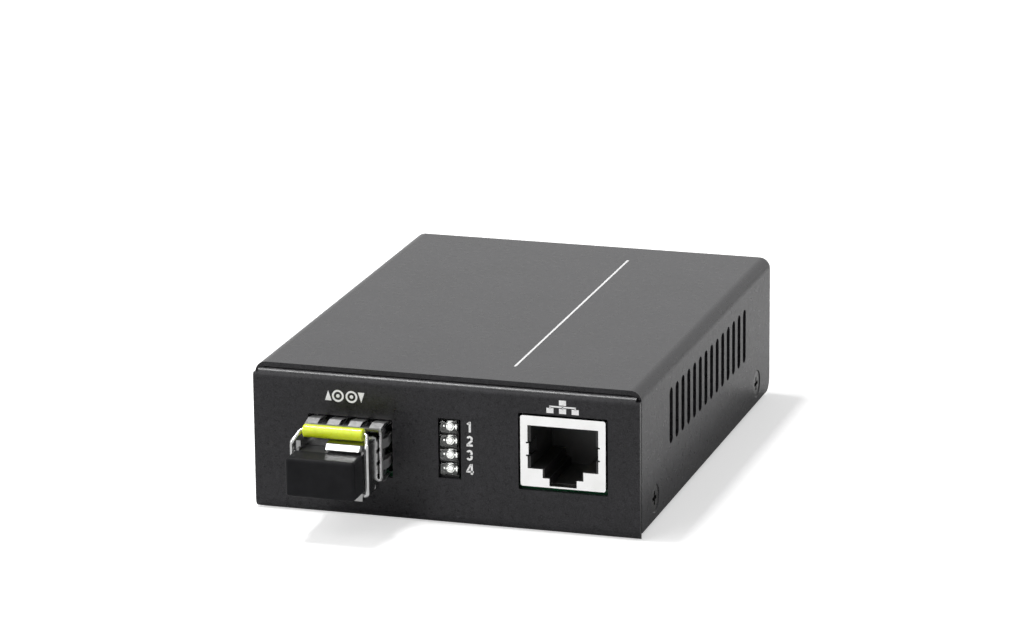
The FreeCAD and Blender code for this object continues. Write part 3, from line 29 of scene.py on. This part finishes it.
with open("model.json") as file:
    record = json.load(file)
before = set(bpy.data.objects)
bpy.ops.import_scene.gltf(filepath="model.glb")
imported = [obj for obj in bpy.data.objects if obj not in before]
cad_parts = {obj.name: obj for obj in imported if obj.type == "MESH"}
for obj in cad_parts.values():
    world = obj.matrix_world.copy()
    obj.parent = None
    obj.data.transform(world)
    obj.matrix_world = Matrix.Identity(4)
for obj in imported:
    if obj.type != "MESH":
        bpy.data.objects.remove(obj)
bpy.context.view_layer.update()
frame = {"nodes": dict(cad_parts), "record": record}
nodes = frame["nodes"]
scene = bpy.context.scene

MM = 0.001
PRINT_RISE = 0.03 * MM            # how far the print stands over the paint
SMOOTH_BELOW = math.radians(35)   # edges flatter than this are shaded smooth

FLOOR_HALF = 3.0
FLOOR_GLOW = (0.35, 1.3, 0.50, 0.80)  # near and far distance in metres, and the glow at each
ROOM_LIGHT = 0.34                 # the world's strength on matt surfaces
AIM = Vector((0, 0, 0.01))        # what the lamps point at
LAMPS = [                         # name, place and size in metres, watts
    ("key_light", (-0.80, -0.80, 0.75), (1.2, 1.1), 7.4),
    ("fill_light", (0.95, -0.35, 0.60), (0.6, 0.6), 0.3),
    ("top_light", (-0.35, 0.0, 1.15), (0.34, 0.20), 9.0),
]
CAMERA_PLACE = (0.2524, -0.8166, 0.2709)
CAMERA_ANGLES = (17.29, 16.03, -0.55)  # azimuth, elevation and roll in degrees
PICTURE_WIDTH = 1024
FOCAL_LENGTH = 4712.6             # in pixels of a picture that wide

# Inside the status lights, in mm.
CUP_SHIFT = (0.15, 0.95)          # the cup's middle: right of the light's middle, and behind its face
# (radius, distance forward) of the cup's outline
CUP_PROFILE = [(0.30, -1.9), (0.74, -0.50), (0.80, 0.24), (0.70, 0.26), (0.44, -0.10), (0.02, -0.11)]
# centre, from the cup's middle, and size: the die, the left post, the right bar and its foot
LEAD_BLOCKS = [
    ((0, 0.10, 0), (0.26, 0.12, 0.26)),
    ((-1.15, 0.75, 0), (0.30, 1.6, 0.34)),
    ((1.16, 0.65, 0), (0.26, 1.6, 0.92)),
    ((0.92, 0.65, 0), (0.36, 1.2, 0.30)),
]

# The bevel over the module's right port, in mm. It is part of the dark nickel nose but takes bright tin
# plate: a painted highlight on top of the lamps' real reflection in it.
BEVEL_PLACE = (1.15, -0.40)       # its upper front edge: back from the nose's face and up from its top
BEVEL_SPAN = (-0.60, 5.70)        # its ends, from the module's middle
# (y, z) of its corners, from that edge
BEVEL_SECTION = [(0.0, -1.03), (-0.72, -0.98), (-0.78, -0.90), (-0.06, -0.02), (0.0, 0.0)]

front_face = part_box("chassis")[0].y
rear_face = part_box("chassis")[1].y
top_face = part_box("cover")[1].z


# ---- node helpers ----
class Nodes:
    """A material's node tree with short calls for the nodes that the finishes below share."""

    def __init__(self, name):
        self.material = bpy.data.materials.new(name)
        self.material.use_nodes = True
        self.tree = self.material.node_tree
        self.shader = self.tree.nodes["Principled BSDF"]
        self.place = self.add("ShaderNodeTexCoord").outputs["Object"]

    def add(self, kind, **settings):
        node = self.tree.nodes.new(kind)
        for key, value in settings.items():
            setattr(node, key, value)
        return node

    def link(self, source, target):
        self.tree.links.new(source, target)

    def set(self, **values):
        for key, value in values.items():
            self.shader.inputs[key.replace("_", " ")].default_value = value

    def stretched(self, stretch):
        mapping = self.add("ShaderNodeMapping")
        mapping.inputs["Scale"].default_value = stretch
        self.link(self.place, mapping.inputs["Vector"])
        return mapping.outputs["Vector"]

    def noise(self, size_mm, detail, stretch=(1, 1, 1)):
        """Noise whose patches are about size_mm across."""
        node = self.add("ShaderNodeTexNoise")
        node.inputs["Scale"].default_value = 1 / (size_mm * MM)
        node.inputs["Detail"].default_value = detail
        node.inputs["Roughness"].default_value = 0.55
        self.link(self.stretched(stretch), node.inputs["Vector"])
        return node.outputs["Fac"]

    def ramp(self, fac, stops):
        """Colour ramp with (position, colour) stops."""
        node = self.add("ShaderNodeValToRGB")
        elements = node.color_ramp.elements
        elements[0].position, elements[0].color = stops[0][0], (*stops[0][1], 1)
        elements[1].position, elements[1].color = stops[-1][0], (*stops[-1][1], 1)
        for position, colour in stops[1:-1]:
            elements.new(position).color = (*colour, 1)
        self.link(fac, node.inputs["Fac"])
        return node.outputs["Color"]

    def span(self, fac, low, high):
        """The usual reach of noise, 0.3 to 0.7, mapped to low and high."""
        node = self.add("ShaderNodeMapRange")
        node.inputs["From Min"].default_value = 0.3
        node.inputs["From Max"].default_value = 0.7
        node.inputs["To Min"].default_value = low
        node.inputs["To Max"].default_value = high
        self.link(fac, node.inputs["Value"])
        return node.outputs["Result"]

    def math(self, operation, a, b):
        node = self.add("ShaderNodeMath", operation=operation)
        for socket, value in zip(node.inputs, (a, b)):
            if isinstance(value, (int, float)):
                socket.default_value = value
            else:
                self.link(value, socket)
        return node.outputs["Value"]

    def bump(self, heights):
        """Bumps one on another, from (height, depth in mm) pairs."""
        normal = None
        for height, depth_mm in heights:
            node = self.add("ShaderNodeBump")
            node.inputs["Distance"].default_value = depth_mm * MM
            self.link(height, node.inputs["Height"])
            if normal is not None:
                self.link(normal, node.inputs["Normal"])
            normal = node.outputs["Normal"]
        self.link(normal, self.shader.inputs["Normal"])

    def colour(self, source):
        self.link(source, self.shader.inputs["Base Color"])

    def roughness(self, source):
        self.link(source, self.shader.inputs["Roughness"])


def grey(value):
    return (value, value, value)


# ---- finishes ----
def powder_coat():
    """Charcoal powder coat: fine orange peel with a speckle of lighter and darker grains."""
    n = Nodes("powder_coat")
    grain = n.noise(0.20, 2.0)
    patches = n.noise(1.1, 3.0)
    cloud = n.noise(14, 2.0)
    mixed = n.math("ADD", n.math("MULTIPLY", grain, 0.6), n.math("MULTIPLY", patches, 0.25))
    mixed = n.math("ADD", mixed, n.math("MULTIPLY", cloud, 0.15))
    n.colour(n.ramp(mixed, [(0.36, (0.005, 0.005, 0.006)), (0.50, (0.017, 0.0165, 0.0185)),
                            (0.64, (0.032, 0.031, 0.035))]))
    n.roughness(n.span(patches, 0.26, 0.33))
    n.set(Specular_IOR_Level=0.26)
    n.bump([(n.noise(0.30, 2.0), 0.010), (n.noise(0.9, 2.0), 0.006)])
    return n.material


def screw_steel():
    """Black-zinc screw head with a fine uneven grain."""
    n = Nodes("black_zinc")
    n.set(Metallic=1.0)
    grain = n.noise(0.15, 3.0)
    n.colour(n.ramp(grain, [(0.35, grey(0.035)), (0.65, grey(0.10))]))
    n.roughness(n.span(grain, 0.20, 0.34))
    n.bump([(n.noise(0.25, 2.0), 0.006)])
    return n.material


def tin_plate():
    """Bright plated sheet: faint rolling lines and small stains."""
    n = Nodes("tin_plate")
    n.set(Metallic=1.0)
    lines = n.noise(0.12, 3.0, stretch=(1, 1, 0.06))
    stains = n.noise(3.0, 4.0)
    n.colour(n.ramp(stains, [(0.3, (0.86, 0.86, 0.85)), (0.7, (0.94, 0.94, 0.94))]))
    n.roughness(n.math("ADD", n.span(lines, 0.10, 0.18), n.span(stains, 0.0, 0.06)))
    n.bump([(lines, 0.0015), (n.noise(1.4, 2.0), 0.006)])
    return n.material


def spring_metal():
    """Bright drawn wire, pins and turned cans."""
    n = Nodes("spring_metal")
    n.set(Metallic=1.0)
    lines = n.noise(0.08, 2.0, stretch=(0.1, 1, 1))
    n.colour(n.ramp(n.noise(1.2, 3.0), [(0.3, grey(0.42)), (0.7, grey(0.56))]))
    n.roughness(n.span(lines, 0.10, 0.18))
    n.bump([(lines, 0.0006)])
    return n.material


def spring_strip():
    """Satin strip of the grounding fingers, brushed along its length."""
    n = Nodes("spring_strip")
    n.set(Metallic=1.0)
    lines = n.noise(0.10, 3.0, stretch=(1, 0.08, 1))
    n.colour(n.ramp(n.noise(0.9, 3.0), [(0.3, grey(0.52)), (0.7, grey(0.68))]))
    n.roughness(n.span(lines, 0.32, 0.44))
    n.bump([(lines, 0.001)])
    return n.material


def cast_metal():
    """Die-cast zinc under dark nickel: a slightly pebbled skin."""
    n = Nodes("cast_metal")
    n.set(Metallic=1.0)
    skin = n.noise(0.5, 4.0)
    n.colour(n.ramp(skin, [(0.3, grey(0.27)), (0.7, grey(0.36))]))
    n.roughness(n.span(skin, 0.16, 0.24))
    n.bump([(skin, 0.0012), (n.noise(0.12, 2.0), 0.0003)])
    return n.material


def zinc_plate():
    """Bright zinc of the standoffs and board screws, with a faint spangle."""
    n = Nodes("zinc_plate")
    n.set(Metallic=1.0)
    spangle = n.noise(0.8, 3.0)
    n.colour(n.ramp(spangle, [(0.35, (0.55, 0.56, 0.58)), (0.65, (0.72, 0.73, 0.74))]))
    n.roughness(n.span(spangle, 0.26, 0.40))
    n.bump([(n.noise(0.2, 2.0), 0.002)])
    return n.material


def gold_plate():
    """Thin gold on the contacts, paler where it is worn."""
    n = Nodes("gold_plate")
    n.set(Metallic=1.0)
    wear = n.noise(0.5, 3.0)
    n.colour(n.ramp(wear, [(0.3, (0.72, 0.46, 0.14)), (0.7, (0.88, 0.62, 0.24))]))
    n.roughness(n.span(wear, 0.16, 0.28))
    n.bump([(n.noise(0.1, 2.0), 0.001)])
    return n.material


def moulding(name, low, high, rough_low, rough_high):
    """Moulded black plastic: a fine spark-eroded skin with soft flow marks."""
    n = Nodes(name)
    skin = n.noise(0.16, 3.0)
    flow = n.noise(4.0, 3.0, stretch=(1, 0.35, 1))
    n.colour(n.ramp(flow, [(0.3, low), (0.7, high)]))
    n.roughness(n.math("ADD", n.span(skin, rough_low, rough_high), n.span(flow, 0.0, 0.05)))
    n.bump([(skin, 0.004), (flow, 0.008)])
    return n.material


def board_laminate():
    """Green solder mask with the shadows of tracks under it."""
    n = Nodes("board_laminate")
    tracks = n.add("ShaderNodeTexBrick")
    tracks.inputs["Scale"].default_value = 1 / (3.2 * MM)
    tracks.inputs["Mortar Size"].default_value = 0.10
    tracks.inputs["Brick Width"].default_value = 2.7
    tracks.inputs["Row Height"].default_value = 0.31
    tracks.inputs["Color1"].default_value = (0.006, 0.050, 0.020, 1)
    tracks.inputs["Color2"].default_value = (0.008, 0.060, 0.024, 1)
    tracks.inputs["Mortar"].default_value = (0.012, 0.100, 0.040, 1)
    n.link(n.place, tracks.inputs["Vector"])
    n.colour(tracks.outputs["Color"])
    n.roughness(n.span(n.noise(1.5, 3.0), 0.22, 0.36))
    n.bump([(tracks.outputs["Fac"], 0.02), (n.noise(0.25, 2.0), 0.003)])
    return n.material


def capacitor_film():
    """Dark blue shrunk sleeve."""
    n = Nodes("capacitor_film")
    n.colour(n.ramp(n.noise(2.0, 3.0), [(0.3, (0.008, 0.010, 0.030)), (0.7, (0.014, 0.016, 0.045))]))
    n.roughness(n.span(n.noise(0.6, 2.0), 0.25, 0.38))
    n.bump([(n.noise(0.8, 2.0), 0.01)])
    return n.material


def fired_ceramic():
    """Brown body of the small chip parts."""
    n = Nodes("fired_ceramic")
    n.colour(n.ramp(n.noise(0.3, 3.0), [(0.3, (0.22, 0.15, 0.09)), (0.7, (0.36, 0.27, 0.18))]))
    n.roughness(n.span(n.noise(0.2, 2.0), 0.45, 0.6))
    n.bump([(n.noise(0.1, 2.0), 0.003)])
    return n.material


def clear_lens():
    """Water-clear epoxy of the status lights."""
    n = Nodes("clear_lens")
    n.set(Transmission_Weight=1.0, IOR=1.52, Base_Color=(0.93, 0.95, 0.92, 1))
    n.roughness(n.span(n.noise(0.7, 3.0), 0.01, 0.07))
    n.bump([(n.noise(0.5, 2.0), 0.004)])
    return n.material


def lime_plastic():
    """Soft translucent sleeve, yellow-green, with faint streaks along it."""
    n = Nodes("lime_plastic")
    mottling = n.noise(1.6, 3.0)
    n.colour(n.ramp(mottling, [(0.3, (0.70, 0.84, 0.010)), (0.7, (0.80, 0.91, 0.018))]))
    n.set(Subsurface_Weight=0.25, Subsurface_Radius=(0.6, 1.0, 0.15), Subsurface_Scale=0.8 * MM,
          Coat_Weight=0.25)
    n.roughness(n.span(n.noise(0.4, 2.0), 0.26, 0.36))
    n.bump([(n.noise(0.5, 2.0, stretch=(0.2, 1, 1)), 0.004)])
    return n.material


def plug_rubber():
    """Black moulded rubber with a dull skin."""
    n = Nodes("plug_rubber")
    skin = n.noise(0.22, 3.0)
    n.colour(n.ramp(n.noise(2.5, 3.0), [(0.3, (0.008, 0.008, 0.009)), (0.7, (0.012, 0.012, 0.0135))]))
    n.roughness(n.span(skin, 0.46, 0.56))
    n.set(Specular_IOR_Level=0.08)
    n.bump([(skin, 0.002), (n.noise(3.0, 2.0), 0.01)])
    return n.material


def white_ink():
    """Screen print: slightly uneven, matt white."""
    n = Nodes("white_ink")
    n.colour(n.ramp(n.noise(0.15, 3.0), [(0.3, grey(0.78)), (0.6, grey(0.92))]))
    n.roughness(n.span(n.noise(0.3, 2.0), 0.45, 0.6))
    n.bump([(n.noise(0.12, 2.0), 0.003)])
    return n.material


def pale_floor():
    """Pale matt sheet: white to the camera, also far from the lamps, and it keeps the object's shadow."""
    n = Nodes("pale_floor")
    n.colour(n.ramp(n.noise(25, 3.0), [(0.3, grey(0.86)), (0.7, grey(0.88))]))
    n.roughness(n.span(n.noise(4, 3.0), 0.75, 0.85))
    n.set(Specular_IOR_Level=0.1)
    seen = n.add("ShaderNodeLightPath")
    shown = n.math("MAXIMUM", seen.outputs["Is Camera Ray"], seen.outputs["Is Transmission Ray"])
    distance = n.add("ShaderNodeVectorMath", operation="LENGTH")
    n.link(n.place, distance.inputs[0])
    level = n.add("ShaderNodeMapRange", interpolation_type="SMOOTHSTEP")
    n.link(distance.outputs["Value"], level.inputs["Value"])
    for name, value in zip(("From Min", "From Max", "To Min", "To Max"), FLOOR_GLOW):
        level.inputs[name].default_value = value
    glow = n.add("ShaderNodeEmission")
    n.link(n.math("MULTIPLY", shown, level.outputs["Result"]), glow.inputs["Strength"])
    total = n.add("ShaderNodeAddShader")
    n.link(n.shader.outputs["BSDF"], total.inputs[0])
    n.link(glow.outputs["Emission"], total.inputs[1])
    n.link(total.outputs["Shader"], n.tree.nodes["Material Output"].inputs["Surface"])
    return n.material


def dress_cad():
    """Gives every CAD node its finish by the record's material slot."""
    finishes = {
        "case_paint": powder_coat(),
        "screw_black": screw_steel(),
        "zinc_steel": zinc_plate(),
        "tin_plate": tin_plate(),
        "gold_contact": gold_plate(),
        "board_green": board_laminate(),
        "black_moulding": moulding("black_moulding", grey(0.012), grey(0.017), 0.30, 0.42),
        "led_lens": clear_lens(),
        "chip_black": moulding("chip_black", grey(0.014), grey(0.022), 0.45, 0.6),
        "capacitor_sleeve": capacitor_film(),
        "ceramic_chip": fired_ceramic(),
        "cast_zinc": cast_metal(),
        "port_black": moulding("port_black", grey(0.010), grey(0.014), 0.4, 0.5),
        "spring_steel": spring_metal(),
        "sleeve_green": lime_plastic(),
        "plug_rubber": plug_rubber(),
    }
    for row in frame["record"]["subparts"]:
        obj = nodes[row["node"]]
        obj.data.materials.clear()
        obj.data.materials.append(finishes[row["material_slot"]])
    strip = spring_strip()
    for name in ("cage_spring_fingers", "module_spring_collar"):
        nodes[name].data.materials[0] = strip
    return finishes


# ---- mesh helpers ----
def mesh_object(name, bm, material, body):
    """A piece from bm, which is used up, that rides on a body and takes its finish from a slot."""
    mesh = bpy.data.meshes.new(name)
    bmesh.ops.recalc_face_normals(bm, faces=bm.faces)
    bm.to_mesh(mesh)
    bm.free()
    obj = bpy.data.objects.new(name, mesh)
    scene.collection.objects.link(obj)
    mesh.materials.append(material)
    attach(obj, body)
    return obj


def polar(u, v, radius, angle):
    """The point at an angle round u, v."""
    return (u + radius * math.cos(angle), v + radius * math.sin(angle))


class Sheet:
    """Flat print on one face of the case, given in mm on that face: u to the right, v up or back."""

    def __init__(self, corner, right, up):
        self.bm = bmesh.new()
        self.corner, self.right, self.up = Vector(corner), Vector(right), Vector(up)
        self.out = self.right.cross(self.up)

    def point(self, u, v, rise):
        return self.corner + self.right * (u * MM) + self.up * (v * MM) + self.out * rise

    def outline(self, points):
        """A filled outline with its edge standing on the face."""
        low = [self.bm.verts.new(self.point(u, v, 0)) for u, v in points]
        high = [self.bm.verts.new(self.point(u, v, PRINT_RISE)) for u, v in points]
        self.bm.faces.new(high)
        for k in range(len(points)):
            m = (k + 1) % len(points)
            self.bm.faces.new((low[k], low[m], high[m], high[k]))

    def rectangle(self, u0, v0, u1, v1):
        self.outline([(u0, v0), (u1, v0), (u1, v1), (u0, v1)])

    def bar(self, u0, v0, u1, v1, width):
        """A straight stroke."""
        along = Vector((u1 - u0, v1 - v0))
        side = Vector((-along.y, along.x)).normalized() * width / 2
        self.outline([(u0 - side.x, v0 - side.y), (u1 - side.x, v1 - side.y),
                      (u1 + side.x, v1 + side.y), (u0 + side.x, v0 + side.y)])

    def arc(self, u, v, radius, width, start=0.0, end=360.0, steps=40):
        """A stroke along an arc, angles in degrees from the right."""
        count = max(6, int(steps * abs(end - start) / 360))
        inner, outer = radius - width / 2, radius + width / 2
        for k in range(count):
            a = math.radians(start + (end - start) * k / count)
            b = math.radians(start + (end - start) * (k + 1) / count)
            self.outline([polar(u, v, inner, a), polar(u, v, outer, a),
                          polar(u, v, outer, b), polar(u, v, inner, b)])

    def disc(self, u, v, radius, steps=28):
        self.outline([polar(u, v, radius, 2 * math.pi * k / steps) for k in range(steps)])

    def finish(self, name, ink):
        bmesh.ops.remove_doubles(self.bm, verts=self.bm.verts, dist=1e-7)
        mesh_object(name, self.bm, ink, "case")


def middle(node):
    low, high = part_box(node)
    return (low + high) / 2


# ---- printed marks ----
def digit(sheet, number, u, v, height, stroke):
    """One of the numbers 1 to 4, drawn with bars and arcs; u, v is its lower left corner."""
    width = height * 0.58
    r = width / 2 - stroke / 2
    if number == 1:
        sheet.bar(u + width * 0.55, v, u + width * 0.55, v + height, stroke)
        sheet.bar(u + width * 0.14, v + height * 0.74, u + width * 0.50, v + height - stroke * 0.35,
                  stroke * 0.9)
    elif number == 2:
        c = v + height - r - stroke / 2
        sheet.arc(u + width / 2, c, r, stroke, 165, -38)
        sheet.bar(u + width * 0.88, c - r * 0.75, u + stroke * 0.45, v + stroke * 0.8, stroke)
        sheet.bar(u, v + stroke / 2, u + width, v + stroke / 2, stroke)
    elif number == 3:
        r = height / 4 - stroke / 4
        sheet.arc(u + width * 0.46, v + height - r - stroke / 2, r, stroke, 160, -90)
        sheet.arc(u + width * 0.46, v + r + stroke / 2, r, stroke, 90, -160)
    else:
        sheet.bar(u + width * 0.80, v, u + width * 0.80, v + height, stroke)
        sheet.bar(u - width * 0.10, v + height * 0.27, u + width * 1.12, v + height * 0.27, stroke * 0.85)
        sheet.bar(u + width * 0.68, v + height * 0.97, u + width * 0.02, v + height * 0.30, stroke * 0.80)


def fibre_mark(sheet, u, v):
    """Two fibres seen end on, with an arrow for each one's direction."""
    radius, stroke, core = 0.95, 0.36, 0.34
    fibre, arrow, arrow_half = 1.3, 3.15, 0.62
    for side in (-1, 1):
        sheet.arc(u + side * fibre, v, radius, stroke)
        sheet.disc(u + side * fibre, v, core)
    for side, turn in ((-1, 1), (1, -1)):
        x, base, tip = u + side * arrow, v - turn * radius, v + turn * radius
        sheet.outline([(x - arrow_half, base), (x + arrow_half, base), (x, tip)][::turn])


def network_mark(sheet, u, v):
    """A tree: one station over three."""
    half, stroke, spacing = 0.66, 0.28, 2.35
    line = v - 0.20
    sheet.rectangle(u - half, v + 0.10, u + half, v + 1.05)
    sheet.bar(u, v + 0.2, u, v - 0.25, stroke)
    sheet.bar(u - spacing - stroke / 2, line, u + spacing + stroke / 2, line, stroke)
    for side in (-1, 0, 1):
        x = u + side * spacing
        sheet.bar(x, line, x, v - 0.6, stroke)
        sheet.rectangle(x - half, v - 1.45, x + half, v - 0.5)


def front_print(ink):
    """Plain marks over the two sockets and numbers beside the lights."""
    sheet = Sheet((0, front_face, 0), (1, 0, 0), (0, 0, 1))
    fibre_height, network_height = 22.6, 24.1     # over the underside
    fibre_mark(sheet, middle("sfp_cage").x / MM - 0.9, fibre_height)
    network_mark(sheet, middle("rj45_shield").x / MM, network_height)
    number_height, number_stroke = 2.0, 0.40
    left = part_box("led_1")[1].x / MM + 1.9
    for k in range(4):
        foot = middle("led_%d" % (4 - k)).z / MM - 0.55
        digit(sheet, k + 1, left, foot, number_height, number_stroke)
    sheet.finish("front_print", ink)


def rear_print(ink):
    """Polarity mark over the power jack: centre positive."""
    place = middle("dc_jack_body")
    sheet = Sheet((place.x, rear_face, 0), (-1, 0, 0), (0, 0, 1))
    v, radius, dot, apart, sign, stroke = 21.6, 0.95, 0.36, 3.5, 0.5, 0.28
    sheet.arc(0, v, radius, 0.30, 40, 320)
    sheet.disc(0, v, dot)
    for side, start in ((-1, radius), (1, dot)):
        sheet.bar(side * start, v, side * (apart - radius), v, 0.26)
        sheet.arc(side * apart, v, radius, stroke)
        sheet.bar(side * apart - sign, v, side * apart + sign, v, stroke)
    sheet.bar(apart, v - sign, apart, v + sign, stroke)
    sheet.finish("rear_print", ink)


def top_rule(ink):
    """The long thin rule that runs along the case's top."""
    sheet = Sheet((0, 0, top_face), (1, 0, 0), (0, 1, 0))
    x, front, back, width = 10.2, -37.0, 38.2, 0.42
    sheet.bar(x, front, x, back, width)
    sheet.finish("top_rule", ink)


# ---- inside the status lights ----
def turned(bm, profile, centre, steps=24):
    """A form turned about the line that runs forward through centre; its profile is in mm."""
    rings = []
    for radius, forward in profile:
        ring = []
        for k in range(steps):
            x, z = polar(0, 0, radius, 2 * math.pi * k / steps)
            ring.append(bm.verts.new(centre + Vector((x, -forward, z)) * MM))
        rings.append(ring)
    for a, b in zip(rings, rings[1:]):
        for k in range(steps):
            m = (k + 1) % steps
            bm.faces.new((a[k], a[m], b[m], b[k]))
    bm.faces.new(rings[0])
    bm.faces.new(rings[-1])


def block(bm, centre, size):
    """A small box, size in mm."""
    made = bmesh.ops.create_cube(bm, size=1.0)
    for vert in made["verts"]:
        vert.co = centre + Vector([c * s * MM for c, s in zip(vert.co, size)])


def light_frames(silver):
    """The lead frame inside each clear light: a reflector cup with its die, a post and a bar beside it."""
    right, behind = CUP_SHIFT
    for k in range(4):
        low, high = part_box("led_%d" % (k + 1))
        centre = (low + high) / 2
        centre.x += right * MM
        centre.y = low.y + behind * MM
        bm = bmesh.new()
        turned(bm, CUP_PROFILE, centre)
        cup = mesh_object("light_cup_%d" % (k + 1), bm, silver, "case").data
        cup.shade_smooth()
        cup.set_sharp_from_angle(angle=SMOOTH_BELOW)
        bm = bmesh.new()
        for place, size in LEAD_BLOCKS:
            block(bm, centre + Vector(place) * MM, size)
        mesh_object("light_posts_%d" % (k + 1), bm, silver, "case")


def port_bar(metal):
    """Bevel on the face of the bar over the module's right port, in bright tin plate instead of the nose's
    dark nickel: a painted highlight on top of the lamps' real reflection.
    """
    low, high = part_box("module_base")
    behind, over = BEVEL_PLACE
    edge = Vector((middle("module_base").x, low.y + behind * MM, high.z + over * MM))
    bm = bmesh.new()
    left, right = [[bm.verts.new(edge + Vector((x, y, z)) * MM) for y, z in BEVEL_SECTION]
                   for x in BEVEL_SPAN]
    for k in range(len(left)):
        m = (k + 1) % len(left)
        bm.faces.new((left[k], left[m], right[m], right[k]))
    bm.faces.new(left)
    bm.faces.new(right)
    mesh_object("port_bar", bm, metal, "module")


# ---- room ----
def make_floor():
    """Level floor that the case stands on."""
    bm = bmesh.new()
    bmesh.ops.create_grid(bm, x_segments=24, y_segments=24, size=FLOOR_HALF)
    mesh = bpy.data.meshes.new("floor")
    bm.to_mesh(mesh)
    bm.free()
    floor = bpy.data.objects.new("floor", mesh)
    scene.collection.objects.link(floor)
    mesh.materials.append(pale_floor())


def make_world():
    """White to the camera, in gloss and through clear parts; a soft grey as the light on matt surfaces."""
    world = bpy.data.worlds.new("studio")
    scene.world = world
    world.use_nodes = True
    tree = world.node_tree
    background = tree.nodes["Background"]
    background.inputs["Color"].default_value = (1, 1, 1, 1)
    seen = tree.nodes.new("ShaderNodeLightPath")
    shown = seen.outputs["Is Camera Ray"]
    for kind in ("Is Glossy Ray", "Is Transmission Ray"):
        either = tree.nodes.new("ShaderNodeMath")
        either.operation = "MAXIMUM"
        tree.links.new(shown, either.inputs[0])
        tree.links.new(seen.outputs[kind], either.inputs[1])
        shown = either.outputs[0]
    strength = tree.nodes.new("ShaderNodeMapRange")
    strength.inputs["To Min"].default_value = ROOM_LIGHT
    strength.inputs["To Max"].default_value = 1.0
    tree.links.new(shown, strength.inputs["Value"])
    tree.links.new(strength.outputs["Result"], background.inputs["Strength"])


def make_lights():
    """Large soft lamps on the left and over the case, and a weak one on the right."""
    for name, place, size, watts in LAMPS:
        light = bpy.data.lights.new(name, "AREA")
        light.shape = "RECTANGLE"
        light.size, light.size_y = size
        light.energy = watts
        obj = bpy.data.objects.new(name, light)
        scene.collection.objects.link(obj)
        obj.location = place
        obj.rotation_euler = (AIM - Vector(place)).to_track_quat("-Z", "Y").to_euler()


def make_camera():
    """Long lens, from the right and above, as the photograph was taken."""
    azimuth, elevation, roll = [math.radians(angle) for angle in CAMERA_ANGLES]
    level = math.cos(elevation)
    away = Vector((math.sin(azimuth) * level, -math.cos(azimuth) * level, math.sin(elevation)))
    right = Vector((0, 0, 1)).cross(away).normalized()
    up = away.cross(right)
    turned_right = right * math.cos(roll) + up * math.sin(roll)
    turned_up = up * math.cos(roll) - right * math.sin(roll)
    camera = bpy.data.cameras.new("camera")
    camera.sensor_width = 36.0
    camera.lens = FOCAL_LENGTH / PICTURE_WIDTH * camera.sensor_width
    camera.clip_start, camera.clip_end = 0.05, 20
    obj = bpy.data.objects.new("camera", camera)
    scene.collection.objects.link(obj)
    rotation = Matrix((turned_right, turned_up, away)).transposed().to_4x4()
    obj.matrix_world = Matrix.Translation(CAMERA_PLACE) @ rotation
    scene.camera = obj


finishes = dress_cad()
ink = white_ink()
front_print(ink)
rear_print(ink)
top_rule(ink)
light_frames(finishes["tin_plate"])
# painted highlight: the nose's bevel takes bright tin plate instead of its dark nickel
port_bar(finishes["tin_plate"])
make_floor()
make_world()
make_lights()
make_camera()
scene.view_settings.view_transform = "Standard"
